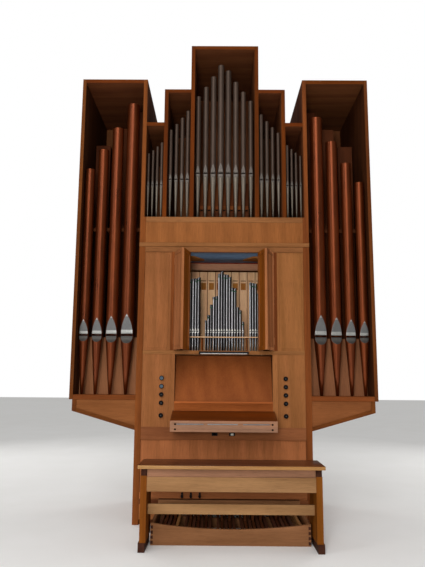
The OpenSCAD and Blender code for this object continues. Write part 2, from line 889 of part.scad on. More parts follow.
// Distance of the outer hinges from the ends of the doors
hinge_inset = 90;
module door_hinges()
    for (z = [cupboard_z + hinge_inset, (cupboard_z + cupboard_top_z) / 2, cupboard_top_z - hinge_inset]) {
        board([hinge_x - hinge_d / 2, hinge_x + 20], [-2, 0], [z - hinge_l / 2, z + hinge_l / 2]);
        translate([hinge_x - hinge_d / 2, front_y - hinge_d / 2, z - hinge_l / 2])
            cylinder(d = hinge_d, h = hinge_l);
    }

// Both leaves of each door, folded out in front of the cupboard
module folding_doors()
    color(oak)
        both_sides() {
            door_hinges();
            translate([opening_half_w - 1, front_y - 1, cupboard_z + leaf_gap])
                rotate([0, 0, leaf_turn])
                    translate([0, -leaf_t, 0])
                        door_leaf();
            translate([opening_half_w - 1 - fold_x, front_y - 1 - fold_y, cupboard_z + leaf_gap])
                rotate([0, 0, -inner_leaf_turn])
                    door_leaf();
        }

// Console

// Leaning music desk in the recess, with the ledge board in front of its foot
desk_t = 18;
desk_foot_y = 34;
module music_desk()
    color(oak_dark) {
        board([-opening_half_w, opening_half_w], [0, desk_foot_y + desk_t],
              [console_z + key_front_h - 40, ledge_z - 16]);
        board([-opening_half_w, opening_half_w], [-8, desk_foot_y + desk_t], [ledge_z - 16 - eps, ledge_z]);
        translate([-opening_half_w, front_y + desk_foot_y, ledge_z - eps])
            rotate([-desk_lean, 0, 0])
                cube([2 * opening_half_w, desk_t, (recess_top_z - ledge_z) / cos(desk_lean) - 5]);
    }

// Tube lamp on the rail over the recess
lamp_d = 24;
lamp_z = (recess_top_z + cupboard_z) / 2 - 8;
module desk_lamp()
    color([0.75, 0.76, 0.78])
        translate([0, front_y - 34, lamp_z]) {
            translate([-lamp_l / 2, 0, 0])
                rotate([0, 90, 0])
                    cylinder(d = lamp_d, h = lamp_l);
            for (side = [LEFT, RIGHT])
                translate([side * (lamp_l / 2 - 14) - 8, 0, -lamp_d / 2 - 2])
                    cube([16, 34, lamp_d + 4]);
        }

// Closed key desk under its cover
key_back_z = key_desk_z + key_front_h + cover_rise;
module key_desk()
    color(oak_dark)
        translate([-key_desk_w / 2 + 2, 0, 0])
            rotate([90, 0, 90])
                linear_extrude(key_desk_w - 4)
                    polygon([
                        [front_y - key_desk_out + key_board_t, key_desk_z],
                        [front_y, key_desk_z],
                        [front_y, key_back_z - key_board_t - 2],
                        [front_y - key_desk_out + key_board_t, key_desk_z + key_front_h - key_board_t - 2]
                    ]);

// Folding cover: a sloped top board and a front board with two grooves
// Height and depth of the lower groove and of the upper one
groove_h = [5, 10];
groove_depth = [2, 4];
groove_z = [key_desk_z + 21, key_desk_z + 64];
groove_half = 424;
module key_cover()
    color(oak_dark)
        difference() {
            translate([-key_desk_w / 2, 0, 0])
                rotate([90, 0, 90])
                    linear_extrude(key_desk_w)
                        polygon([
                            [front_y - key_desk_out, key_desk_z],
                            [front_y - key_desk_out + key_board_t, key_desk_z],
                            [front_y - key_desk_out + key_board_t, key_desk_z + key_front_h - key_board_t],
                            [front_y - 1, key_back_z - key_board_t],
                            [front_y - 1, key_back_z],
                            [front_y - key_desk_out, key_desk_z + key_front_h]
                        ]);
            for (i = [0, 1])
                board([-groove_half, groove_half], [-key_desk_out - 1, -key_desk_out + groove_depth[i]],
                      [groove_z[i] - groove_h[i] / 2, groove_z[i] + groove_h[i] / 2]);
        }

// Metal strips in the cover's upper groove, two switches under the desk and the toe studs
strip_x = [[-402, -172], [-138, 120], [163, 392]];
stud_x = [-360, -283, -205];
stud_l = 42;
stud_d = 24;
switch_x = 52;
switch_w = 52;
switch_h = 28;
switch_t = 8;
// The switches' gap to the underside of the key desk
switch_gap = 26;
module console_fittings()
    color([0.3, 0.3, 0.3]) {
        for (x = strip_x)
            board(x, [-key_desk_out + 1, -key_desk_out + groove_depth[1]],
                  [groove_z[1] - groove_h[1] / 2 + 1, groove_z[1] + groove_h[1] / 2 - 1]);
        both_sides()
            board([switch_x, switch_x + switch_w], [-switch_t, 0],
                  [key_desk_z - switch_gap - switch_h, key_desk_z - switch_gap]);
        for (x = stud_x)
            translate([x, front_y + frame_t - panel_t + 6 - toe_rail_out, (toe_rail_z + knee_z) / 2])
                rotate([90, 0, 0]) {
                    cylinder(d = 0.6 * stud_d, h = 2 / 3 * stud_l);
                    translate([0, 0, 2 / 3 * stud_l - eps])
                        cylinder(d = stud_d, h = stud_l / 3);
                }
    }

// A draw knob: a turned head and a stem that slides in the panel's bore
knob_rest_gap = 2;
stem_l = 74;
module draw_knob(side, i)
    color(black)
        translate([side * knob_x, front_y + panel_sink - knob_rest_gap, knob_z(i - 1)])
            rotate([90, 0, 0]) {
                translate([0, 0, -stem_l])
                    cylinder(d = knob_stem_d, h = stem_l + 1);
                rotate_extrude()
                    polygon([
                        [0, 0], [0.28 * knob_d, 0], [0.28 * knob_d, 5], [0.5 * knob_d, 9],
                        [0.5 * knob_d, 17], [0.44 * knob_d, 21], [0.3 * knob_d, 19.5], [0, 19]
                    ]);
            }

module knob_left_1()
    draw_knob(LEFT, 1);
module knob_left_2()
    draw_knob(LEFT, 2);
module knob_left_3()
    draw_knob(LEFT, 3);
module knob_left_4()
    draw_knob(LEFT, 4);
module knob_left_5()
    draw_knob(LEFT, 5);
module knob_right_1()
    draw_knob(RIGHT, 1);
module knob_right_2()
    draw_knob(RIGHT, 2);
module knob_right_3()
    draw_knob(RIGHT, 3);
module knob_right_4()
    draw_knob(RIGHT, 4);
module knob_right_5()
    draw_knob(RIGHT, 5);

// Pedalboard

// Radius of the hollow top edge, from its sag over the width
pedal_r = pedal_w * pedal_w / (8 * pedal_sag) + pedal_sag / 2;
pedal_low_z = pedal_end_h - pedal_sag;
// Rise of the hollow edge over its lowest point, at a distance from the middle
function pedal_lift(x) = pedal_r - sqrt(pedal_r * pedal_r - x * x);
key_low_z = pedal_low_z - 8;
pedal_back_y = frame_t + 10;
pedal_back_rail_y = 80;
pedal_rail_w = 40;
// The keys rest this far above their rails at their outer edge
key_rest_gap = 0.3;
key_end_gap = 6;

// A cross board whose top edge is hollow
module hollow_board(w, y, low_z)
    difference() {
        board([pedal_x - w / 2, pedal_x + w / 2], y, [0, low_z + pedal_sag]);
        translate([pedal_x, front_y + y[0] - 1, low_z + pedal_r])
            rotate([-90, 0, 0])
                cylinder(r = pedal_r, h = y[1] - y[0] + 2, $fn = 360);
    }

// Gap between the toe rail and the board over the keys' back ends
key_cover_gap = 4;

// Frame: side boards, front board, two cross rails that carry the keys, and a board over their back ends
module pedal_frame()
    color(oak) {
        hollow_board(pedal_w, [-pedal_out, pedal_frame_t - pedal_out], pedal_low_z);
        for (end = [0, 1])
            board([pedal_x - pedal_w / 2 + end * (pedal_w - pedal_frame_t),
                   pedal_x - pedal_w / 2 + pedal_frame_t + end * (pedal_w - pedal_frame_t)],
                  [pedal_frame_t - pedal_out - eps, frame_t], [0, pedal_end_h - 1]);
        for (y = [pedal_rail_w + pedal_frame_t - pedal_out, -pedal_back_rail_y])
            hollow_board(pedal_w - 2 * pedal_frame_t + 2 * eps, [y, y + pedal_rail_w],
                         key_low_z - natural_h - key_rest_gap);
        cover_z = toe_rail_z - key_cover_gap - key_cover_h;
        board([pedal_x - pedal_w / 2, pedal_x + pedal_w / 2], [-key_cover_out, pedal_frame_t - key_cover_out],
              [cover_z, cover_z + key_cover_h]);
        for (end = [0, 1])
            board([pedal_x - pedal_w / 2 + end * (pedal_w - pedal_frame_t),
                   pedal_x - pedal_w / 2 + pedal_frame_t + end * (pedal_w - pedal_frame_t)],
                  [-key_cover_out, pedal_frame_t - key_cover_out], [pedal_end_h - 1 - eps, cover_z + eps]);
    }

// Natural keys from C upwards, as many as fit, and which gaps between them hold a sharp
natural_count = 1 + floor((pedal_w - 2 * (pedal_frame_t + key_edge_gap) - natural_w) / pedal_pitch);
sharp_after = [0, 1, 3, 4, 5];
function natural_x(i) = (i - (natural_count - 1) / 2) * pedal_pitch;
// Where the sharps' caps end at the back, and how far their levers lie below the naturals
sharp_back_y = 100;
sharp_step = 8;
// Top of a natural key, whose outer edge follows the hollow rails
function key_top_z(x) = key_low_z + pedal_lift(abs(x) + natural_w / 2);

module pedal_naturals()
    color(pale_wood)
        for (i = [0 : natural_count - 1]) {
            z = key_top_z(natural_x(i));
            board([pedal_x + natural_x(i) - natural_w / 2, pedal_x + natural_x(i) + natural_w / 2],
                  [pedal_frame_t - pedal_out + key_end_gap, pedal_back_y], [z - natural_h, z]);
        }

module pedal_sharps()
    color(oak_dark)
        for (i = [0 : natural_count - 2])
            if (len(search(i % 7, sharp_after)) > 0) {
                x = natural_x(i) + pedal_pitch / 2;
                z = key_top_z(x);
                board([pedal_x + x - natural_w / 2, pedal_x + x + natural_w / 2],
                      [pedal_frame_t - pedal_out + key_end_gap, pedal_back_y],
                      [z - natural_h, z - sharp_step]);
                board([pedal_x + x - natural_w / 2, pedal_x + x + natural_w / 2],
                      [-sharp_back_y - sharp_l, -sharp_back_y], [z - sharp_step - eps, z + sharp_h]);
            }

// Bench

leg_out_x = seat_l / 2 - leg_inset;
under_z = seat_z - seat_t;
bench_back = seat_d - bench_out;
// Overhang of the seat over the legs, front and back
seat_over = [43, 8];
seat_corner_r = 8;
// Bearers under the seat, on top of the legs
bearer_h = 54;
bearer_inset = 3;
foot_inset = 6;
// The side boards lie this far behind the legs' outer faces
side_inset = 12;

// Seat with rounded corners
module bench_seat()
    color(oak)
        translate([pedal_x, front_y - bench_out + seat_d / 2, under_z])
            linear_extrude(seat_t)
                offset(r = seat_corner_r)
                    square([seat_l - 2 * seat_corner_r, seat_d - 2 * seat_corner_r], center = true);

// Children drawn for the right end of the bench are turned over for the left end
module bench_ends()
    translate([pedal_x, 0, 0])
        both_sides()
            children();

// End frames: two legs on a sled foot under a bearer, with a board between them
module bench_sides() {
    y = [seat_over[0] - bench_out, bench_back - seat_over[1]];
    color(oak)
        bench_ends() {
            board([leg_out_x - leg_w, leg_out_x], [y[0], y[0] + leg_w], [foot_h - eps, under_z - bearer_h]);
            board([leg_out_x - leg_w, leg_out_x], [y[1] - leg_w, y[1]], [foot_h - eps, under_z - bearer_h]);
            board([leg_out_x - leg_w, leg_out_x - side_inset], [y[0] + leg_w - eps, y[1] - leg_w + eps],
                  [foot_h - eps, under_z - bearer_h + eps]);
            board([leg_out_x - leg_w + bearer_inset, leg_out_x - bearer_inset],
                  [y[0] + bearer_inset, y[1] - bearer_inset], [under_z - bearer_h - eps, under_z]);
            board([leg_out_x - leg_w + foot_inset, leg_out_x + foot_out],
                  [y[0] - foot_inset, y[1] + foot_inset], [0, foot_h]);
        }
}

// Aprons with a stepped face, front and back, and the stretcher in front
apron_inset = 2;
apron_step = 14;
module bench_rails()
    color(oak)
        for (back = [0, 1]) {
            y0 = back == 0 ? seat_over[0] + apron_inset - bench_out
                 : bench_back - seat_over[1] - apron_inset - apron_t;
            step = back == 0 ? [apron_step, 0] : [0, -apron_step];
            x = [pedal_x - leg_out_x + leg_w, pedal_x + leg_out_x - leg_w];
            board(x, [y0, y0 + apron_t], [apron_z, apron_step_z]);
            board(x, [y0 + step[0], y0 + apron_t + step[1]], [apron_step_z - eps, under_z]);
            if (back == 0)
                board(x, [y0 + stretcher_in, y0 + stretcher_in + apron_t],
                      [stretcher_z, stretcher_z + stretcher_h]);
        }

base_frame();
case_walls();
roofs();
back_boards();
tower_walls();
tower_floors();
tower_brackets();
tower_chests();
tower_racks();
bass_pipes();
front_posts();
front_rails();
fascia();
side_panels();
console_panels();
knee_panel();
great_chest();
tin_pipes_centre();
tin_pipes_sides();
copper_pipes_left();
copper_pipes_right();
copper_lips();
cupboard_sides();
cupboard_ceiling();
cupboard_chest();
wooden_pipes();
small_pipes();
folding_doors();
music_desk();
desk_lamp();
key_desk();
key_cover();
console_fittings();
pedal_frame();
pedal_naturals();
pedal_sharps();
bench_seat();
bench_sides();
bench_rails();
knob_left_1();
knob_left_2();
knob_left_3();
knob_left_4();
knob_left_5();
knob_right_1();
knob_right_2();
knob_right_3();
knob_right_4();
knob_right_5();
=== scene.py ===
import math
import random
import bmesh
import bpy
from mathutils import Matrix, Vector


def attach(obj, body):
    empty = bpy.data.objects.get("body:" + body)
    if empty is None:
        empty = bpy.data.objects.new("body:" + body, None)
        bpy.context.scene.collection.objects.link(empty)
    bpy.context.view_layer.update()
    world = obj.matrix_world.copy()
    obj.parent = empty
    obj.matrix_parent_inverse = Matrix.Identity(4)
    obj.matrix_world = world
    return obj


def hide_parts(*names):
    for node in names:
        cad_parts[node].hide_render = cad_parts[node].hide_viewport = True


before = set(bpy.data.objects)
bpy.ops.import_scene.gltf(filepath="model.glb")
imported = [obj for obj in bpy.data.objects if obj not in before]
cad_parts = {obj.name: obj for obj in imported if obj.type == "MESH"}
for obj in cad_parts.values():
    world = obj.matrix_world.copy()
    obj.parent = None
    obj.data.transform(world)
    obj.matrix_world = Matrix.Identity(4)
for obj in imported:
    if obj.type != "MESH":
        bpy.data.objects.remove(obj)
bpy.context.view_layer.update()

# The case front lies in this plane, and depths are counted backwards from it
FRONT = -0.570
# Half the width of the main case, and the inner edges of its corner posts and of the towers' outer walls
MAIN_HALF = 0.795
CORNER_IN = 0.739
TOWER_IN = 1.360
# Top of the fascia, on which the tin pipes stand
STAND = 2.775
# Middle of the pedalboard and the bench
BENCH_X = 0.051
TAU = 2 * math.pi


def lin(rgb):
    """Linear colour of an sRGB colour given as 0 to 255."""
    out = []
    for v in rgb:
        c = v / 255
        out.append(c / 12.92 if c <= 0.04045 else ((c + 0.055) / 1.055) ** 2.4)
    return (*out, 1.0)


# Camera, fitted to the photograph's perspective: its angles in degrees, its place in metres
PITCH, YAW, ROLL = 9.328, -0.38, 0.432
CAMERA_AT = (-0.0703, -6.070, 1.2347)
LENS, SENSOR = 38.105, 36


def make_camera():
    pitch, yaw, roll = (math.radians(angle) for angle in (PITCH, YAW, ROLL))
    ahead = Vector((math.sin(yaw) * math.cos(pitch), math.cos(yaw) * math.cos(pitch), math.sin(pitch)))
    side = Vector((math.cos(yaw), -math.sin(yaw), 0))
    up = side.cross(ahead)
    right = math.cos(roll) * side + math.sin(roll) * up
    top = -math.sin(roll) * side + math.cos(roll) * up
    data = bpy.data.cameras.new("camera")
    data.lens = LENS
    data.sensor_width = SENSOR
    data.clip_end = 200
    cam = bpy.data.objects.new("camera", data)
    bpy.context.scene.collection.objects.link(cam)
    m = Matrix((right, top, -ahead)).transposed().to_4x4()
    m.translation = Vector(CAMERA_AT)
    cam.matrix_world = m
    bpy.context.scene.camera = cam


make_camera()


# Materials
class Nodes:
    """A material's node tree with short ways to add and join nodes."""

    def __init__(self, name):
        self.mat = bpy.data.materials.new(name)
        self.mat.use_nodes = True
        self.tree = self.mat.node_tree
        self.tree.nodes.clear()
        out = self.tree.nodes.new("ShaderNodeOutputMaterial")
        self.shader = self.tree.nodes.new("ShaderNodeBsdfPrincipled")
        self.join(self.shader.outputs[0], out.inputs[0])

    def join(self, a, b):
        self.tree.links.new(a, b)

    def add(self, kind, inputs=None, **props):
        n = self.tree.nodes.new("ShaderNode" + kind)
        for k, v in props.items():
            setattr(n, k, v)
        for k, v in (inputs or {}).items():
            if isinstance(v, bpy.types.NodeSocket):
                self.join(v, n.inputs[k])
            else:
                n.inputs[k].default_value = v
        return n

    def math(self, op, a, b):
        return self.add("Math", {0: a, 1: b}, operation=op).outputs[0]

    def mix(self, a, b, factor, blend="MIX"):
        n = self.add("Mix", data_type="RGBA", blend_type=blend)
        for socket, v in ((n.inputs[0], factor), (n.inputs[6], a), (n.inputs[7], b)):
            if isinstance(v, bpy.types.NodeSocket):
                self.join(v, socket)
            else:
                socket.default_value = v
        return n.outputs[2]

    def ramp(self, value, stops):
        n = self.add("ValToRGB", {0: value})
        e = n.color_ramp.elements
        while len(e) < len(stops):
            e.new(0.5)
        for el, (at, grey) in zip(e, stops):
            el.position = at
            el.color = (grey, grey, grey, 1)
        return n.outputs[0]

    def noise(self, vector, detail, roughness=0.5, scale=1.0, distortion=0.0):
        return self.add("TexNoise", {"Vector": vector, "Scale": scale, "Detail": detail,
                                     "Roughness": roughness, "Distortion": distortion}).outputs["Fac"]

    def span(self, value, low, high, to_low=0.0, to_high=1.0):
        """A value between low and high, carried over to another range."""
        return self.add("MapRange", {0: value, 1: low, 2: high, 3: to_low, 4: to_high}).outputs[0]

    def blend(self, a, b, share):
        """The share of a added to the rest of b."""
        return self.math("ADD", self.math("MULTIPLY", a, share), self.math("MULTIPLY", b, 1 - share))

    def shift(self, number, factors):
        """An offset of the pattern that differs from board to board, none along an axis with factor 0."""
        steps = {i: self.math("MULTIPLY", number, factor) for i, factor in enumerate(factors) if factor}
        return self.add("CombineXYZ", steps).outputs[0]

    def coords(self, scale, shift=None):
        """Object coordinates scaled along each axis, moved on each board by its own number."""
        v = self.add("TexCoord").outputs["Object"]
        if shift is not None:
            v = self.add("VectorMath", {0: v, 1: shift}, operation="ADD").outputs[0]
        return self.add("VectorMath", {0: v, 1: scale}, operation="MULTIPLY").outputs[0]

    def board(self):
        """The number between 0 and 1 that each board carries."""
        return self.add("Attribute", attribute_name="board").outputs["Fac"]

    def set(self, **values):
        for k, v in values.items():
            socket = self.shader.inputs[k.replace("_", " ").title()]
            if isinstance(v, bpy.types.NodeSocket):
                self.join(v, socket)
            else:
                socket.default_value = v

    def bump(self, height, strength, distance):
        n = self.add("Bump", {"Height": height, "Strength": strength, "Distance": distance})
        self.join(n.outputs[0], self.shader.inputs["Normal"])


AXES = {"x": 0, "y": 1, "z": 2}


def stretched(scale, axis, along):
    """Scale of a pattern that runs along one axis."""
    s = [scale] * 3
    s[AXES[axis]] = scale * along
    return s


# Shares of the broad figure and of the pores in every wood
FIGURE, PORES = 0.25, 0.5


def wood(name, light, dark, axis, rough, coat):
    """Wood with a broad figure, streaks and pores along its grain, and blotches across it."""
    n = Nodes(name)
    number = n.board()
    shift = n.shift(number, (7.3, 3.1, 11.7))

    def lengthwise(scale, along, detail, roughness, distortion=0.0):
        vector = n.coords(stretched(scale, axis, along), shift)
        return n.noise(vector, detail, roughness, distortion=distortion)

    wave = n.add("TexWave", {"Vector": n.coords(stretched(1.0, axis, 0.07), shift), "Scale": 3.4,
                             "Distortion": 7.0, "Detail": 2.0, "Detail Scale": 0.9, "Detail Roughness": 0.55},
                 wave_type="BANDS", bands_direction="DIAGONAL", wave_profile="SIN").outputs["Fac"]
    streak = lengthwise(26.0, 0.045, 5.0, 0.62, 0.25)
    fine = lengthwise(150.0, 0.035, 3.0, 0.7)
    pore = lengthwise(420.0, 0.03, 2.0, 0.5)
    blotch = n.noise(n.coords([1.0] * 3, shift), 3.0, scale=2.3)
    colour = n.mix(lin(dark), lin(light), n.span(n.blend(wave, streak, FIGURE), 0.20, 0.80))
    colour = n.mix(colour, n.ramp(fine, [(0.3, 0.82), (0.62, 1.0)]), 0.6, "MULTIPLY")
    colour = n.mix(colour, n.ramp(pore, [(0.36, 0.55), (0.46, 1.0)]), PORES, "MULTIPLY")
    colour = n.mix(colour, n.ramp(blotch, [(0.3, 0.80), (0.7, 1.0)]), 0.8, "MULTIPLY")
    tone = n.span(number, 0.0, 1.0, 0.93, 1.06)
    hue = n.span(number, 0.0, 1.0, 0.497, 0.503)
    colour = n.add("HueSaturation", {"Hue": hue, "Value": tone, "Color": colour}).outputs[0]
    n.set(base_color=colour, roughness=n.span(fine, 0.3, 0.7, rough + 0.10, rough - 0.05))
    n.shader.inputs["Coat Weight"].default_value = coat
    n.shader.inputs["Coat Roughness"].default_value = 0.25
    n.shader.inputs["Specular IOR Level"].default_value = 0.06 + 0.6 * coat
    n.bump(n.math("ADD", n.math("MULTIPLY", pore, 0.7), n.math("MULTIPLY", fine, 0.5)), 0.16, 0.0006)
    return n.mat


# Light and dark colour, roughness and coat of each kind of wood
WOODS = {
    "panel": ((156, 99, 57), (132, 83, 44), 0.64, 0.0),
    "post": ((136, 74, 33), (96, 48, 18), 0.62, 0.0),
    "fascia": ((149, 90, 48), (126, 73, 37), 0.64, 0.0),
    "bracket": ((145, 89, 49), (122, 72, 37), 0.64, 0.0),
    "upper": ((112, 52, 9), (80, 33, 4), 0.62, 0.0),
    "tower": ((117, 64, 26), (85, 42, 16), 0.62, 0.0),
    "low_rail": ((148, 91, 55), (116, 67, 38), 0.64, 0.0),
    "rail": ((157, 105, 61), (123, 77, 42), 0.64, 0.0),
    # Darker wood for faces inside the case and under the roofs; on the boards beside the pedalboard it is
    # painted shade
    "inside": ((121, 71, 41), (91, 48, 27), 0.72, 0.0),
    "back": ((140, 88, 54), (108, 62, 36), 0.72, 0.0),
    # Painted shade: a darker copy of the towers' wood for their inner walls and the recess cheeks
    "painted_shade": ((84, 45, 23), (62, 32, 15), 0.72, 0.0),
    "chest": ((161, 108, 72), (140, 91, 60), 0.72, 0.0),
    "deep": ((96, 52, 28), (64, 32, 16), 0.72, 0.0),
    "pale": ((230, 191, 147), (201, 150, 111), 0.72, 0.0),
    "cap": ((168, 110, 52), (134, 80, 34), 0.72, 0.0),
    "beam": ((217, 165, 126), (183, 128, 97), 0.72, 0.0),
    "bass": ((92, 48, 26), (66, 33, 17), 0.72, 0.0),
    "door": ((170, 108, 67), (130, 78, 45), 0.62, 0.0),
    "door_in": ((148, 79, 18), (114, 60, 11), 0.66, 0.0),
    "treble": ((108, 56, 26), (72, 36, 16), 0.72, 0.0),
    "cover_top": ((116, 53, 5), (85, 37, 4), 0.38, 0.15),
    "cover_front": ((172, 124, 92), (147, 111, 88), 0.64, 0.0),
    "red": ((150, 66, 46), (118, 46, 30), 0.72, 0.0),
    "ledge": ((176, 98, 47), (150, 81, 38), 0.62, 0.0),
    "desk": ((146, 82, 39), (125, 67, 31), 0.62, 0.0),
    "knee": ((171, 104, 62), (139, 84, 47), 0.64, 0.0),
    "apron": ((156, 116, 78), (127, 90, 57), 0.67, 0.0),
    "apron_top": ((166, 120, 93), (127, 90, 67), 0.64, 0.0),
    # The seat board in two copies: a dark top, painted shade, and a light edge, painted highlight
    "seat": ((109, 58, 29), (84, 40, 18), 0.30, 0.30),
    "seat_edge_painted_light": ((176, 132, 75), (150, 103, 52), 0.34, 0.25),
    "leg": ((132, 75, 22), (101, 51, 8), 0.62, 0.0),
    "block": ((72, 42, 31), (51, 27, 19), 0.67, 0.0),
    "pedal": ((147, 101, 67), (115, 76, 46), 0.70, 0.0),
    "key": ((96, 58, 40), (66, 38, 26), 0.67, 0.0),
    "key_light": ((186, 136, 84), (150, 104, 60), 0.67, 0.0),
}
made = {}


def grained(kind, axis):
    """Wood of one kind with its grain along one axis."""
    key = f"{kind}_{axis}"
    if key not in made:
        light, dark, rough, coat = WOODS[kind]
        made[key] = wood("wood_" + key, light, dark, axis, rough, coat)
    return made[key]


def metal(name, light, dark, rough, metallic=1.0, streak=0.5, dents=0.05, scale=30.0, coat=0.0,
          spread=0.2, sides=False):
    """Sheet metal with upright rolling marks, cloudy patches and slight dents, and with sides set, painted
    shade on its flanks and a painted highlight down its front.
    """
    n = Nodes(name)
    number = n.board()
    shift = n.shift(number, (5.1, 0.0, 9.3))
    line = n.noise(n.coords(stretched(scale * 6, "z", 0.02), shift), 3.0, 0.6)
    cloud = n.noise(n.coords(stretched(scale, "z", 0.35), shift), 4.0, 0.6, scale=0.5)
    fleck = n.noise(n.coords([scale * 14] * 3, shift), 2.0)
    colour = n.mix(lin(dark), lin(light), n.span(n.blend(line, cloud, streak), 0.32, 0.68))
    colour = n.mix(colour, n.ramp(fleck, [(0.34, 0.86), (0.5, 1.0)]), 0.6, "MULTIPLY")
    tone = n.span(number, 0.0, 1.0, 1.08 - spread, 1.08)
    colour = n.add("HueSaturation", {"Value": tone, "Color": colour}).outputs[0]
    # Painted shade and highlight: full colour where the surface faces the front, a little to the left, fading
    # to near black on the flanks.
    if sides:
        facing = n.add("SeparateXYZ", {0: n.add("TexCoord").outputs["Normal"]}).outputs[0]
        side_shade = n.math("ABSOLUTE", n.math("ADD", facing, 0.2), 0.0)
        colour = n.mix(colour, n.ramp(side_shade, [(0.18, 1.0), (0.55, 0.04)]), 1.0, "MULTIPLY")
    gloss = n.span(cloud, 0.3, 0.7, rough - 0.06, rough + 0.08)
    n.set(base_color=colour, roughness=gloss, metallic=metallic)
    n.shader.inputs["Coat Weight"].default_value = coat
    n.shader.inputs["Coat Roughness"].default_value = 0.3
    if dents > 0:
        n.bump(cloud, dents, 0.002)
    return n.mat


def plain(name, light, dark, rough, scale=60.0, coat=0.0, bump=0.05, shine=0.3):
    """Paint, felt, plastic or the floor, with a faint mottle."""
    n = Nodes(name)
    mottle = n.noise(n.coords([scale] * 3), 4.0, 0.6)
    broad = n.noise(n.coords([scale * 0.08] * 3), 2.0)
    both = n.span(n.blend(mottle, broad, 0.5), 0.35, 0.65)
    gloss = n.span(mottle, 0.3, 0.7, rough - 0.04, rough + 0.06)
    n.set(base_color=n.mix(lin(dark), lin(light), both), roughness=gloss)
    n.shader.inputs["Coat Weight"].default_value = coat
    n.shader.inputs["Specular IOR Level"].default_value = shine
    n.bump(mottle, bump, 0.001)
    return n.mat


TIN = metal("tin", (86, 69, 58), (68, 54, 45), 0.46, metallic=0.6, dents=0.02)
TIN_FOOT = metal("tin_foot", (128, 118, 105), (104, 95, 84), 0.46, metallic=0.6, dents=0.02)
TIN_MOUTH = metal("tin_mouth", (112, 104, 97), (92, 85, 79), 0.48, metallic=0.6, dents=0.02)
TIN_LIP = metal("tin_lip", (124, 124, 124), (100, 101, 101), 0.46, metallic=0.8, dents=0.03)
# Brighter tin for the painted highlight on the copper pipes' upper lips
LIP_HIGHLIGHT = metal("bright_tin", (196, 196, 192), (164, 164, 160), 0.38, dents=0.03)
LOW_LIP = metal("dull_tin", (92, 88, 84), (70, 67, 64), 0.55, metallic=0.8, dents=0.08)
# Front row of small pipes: near-white tin whose fronts are a painted highlight and whose sides carry painted
# shade.
SMALL_TIN_SHADED_SIDES = metal("small_tin_shaded_sides", (252, 252, 253), (224, 224, 228), 0.30, metallic=0.55,
                  dents=0.0, scale=2, spread=0.75, sides=True)
# Back row of small pipes: a near-black copy of the same tin, painted shade between the front pipes.
SMALL_BACK_SHADED = metal("small_back", (70, 70, 74), (44, 44, 48), 0.40, metallic=0.4,
                   dents=0.0, scale=2, spread=0.6, sides=True)
SMALL_LIP = metal("small_lip", (246, 244, 236), (226, 222, 212), 0.45, metallic=0.2,
                  dents=0.0, scale=2, spread=0.6)
COPPER = metal("copper", (127, 58, 18), (99, 42, 11), 0.33, metallic=0.82, streak=0.35,
               dents=0.012, scale=18, coat=0.15)
STEEL = metal("steel", (146, 148, 151), (120, 122, 126), 0.42, dents=0.0, scale=20)
BRASS = metal("brass", (196, 164, 96), (140, 108, 54), 0.34, dents=0.03, scale=80)
FELT = plain("green_felt", (24, 84, 52), (10, 48, 28), 0.9, scale=900, bump=0.4)
BLACK = plain("knob_black", (16, 14, 14), (9, 8, 9), 0.5, scale=120, bump=0.02, shine=0.08)
# Grey for the painted highlight at the centre of the black knobs' faces
KNOB_HIGHLIGHT = plain("knob_face", (74, 76, 78), (50, 52, 55), 0.5, scale=300, bump=0.02, shine=0.1)
KNOB_BLUE = plain("knob_blue", (84, 98, 108), (60, 72, 82), 0.5, scale=200, bump=0.02, shine=0.1)
HOOD = plain("lamp_hood", (34, 34, 36), (20, 20, 22), 0.5, scale=160, bump=0.02, shine=0.15)
PLASTIC = plain("switch_black", (22, 20, 19), (12, 11, 11), 0.42, scale=200, shine=0.12)
CREAM = plain("switch_cream", (214, 210, 196), (186, 180, 164), 0.40, scale=200)
CEILING = plain("painted_ceiling", (98, 122, 148), (78, 100, 126), 0.62, scale=22)
HOLE = plain("dark_hole", (14, 9, 7), (7, 5, 4), 0.8, scale=100, shine=0.05)
TUBE = plain("lamp_tube", (214, 212, 208), (200, 198, 194), 0.3, scale=30, coat=0.1, bump=0.01)


# Meshes
def link(name, bm, mats, body="case", nodes=(), smooth=None):
    """Makes an object of a mesh, on a body, in place of CAD nodes."""
    mesh = bpy.data.meshes.new(name)
    bm.to_mesh(mesh)
    bm.free()
    for m in mats:
        mesh.materials.append(m)
    if smooth is not None:
        mesh.shade_smooth()
        mesh.set_sharp_from_angle(angle=math.radians(smooth))
    obj = bpy.data.objects.new(name, mesh)
    bpy.context.scene.collection.objects.link(obj)
    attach(obj, body)
    if nodes:
        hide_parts(*nodes)
    return obj


def islands(bm):
    """The faces of each joined part of a mesh."""
    left = set(bm.faces)
    found = []
    for first in bm.faces:
        if first not in left:
            continue
        left.discard(first)
        group, todo = [], [first]
        while todo:
            f = todo.pop()
            group.append(f)
            for e in f.edges:
                for g in e.link_faces:
                    if g in left:
                        left.discard(g)
                        todo.append(g)
        found.append(group)
    return found


def number_boards(bm, seed, choose=None):
    """Gives each board its own number, and its faces the material that choose names."""
    rng = random.Random(seed)
    layer = bm.verts.layers.float.new("board")
    for group in islands(bm):
        verts = {v for f in group for v in f.verts}
        n = rng.random()
        for v in verts:
            v[layer] = n
        if choose is None:
            continue
        lo = Vector(min(v.co[i] for v in verts) for i in range(3))
        hi = Vector(max(v.co[i] for v in verts) for i in range(3))
        for f in group:
            f.material_index = choose(f.calc_center_median(), f.normal, lo, hi)


# Outward edges that turn by more than this are rounded, and smooth shading stops at this, both in degrees
EDGE, SHARP = 30, 24


def outward(bm):
    """Turns all faces outwards."""
    bmesh.ops.recalc_face_normals(bm, faces=bm.faces)


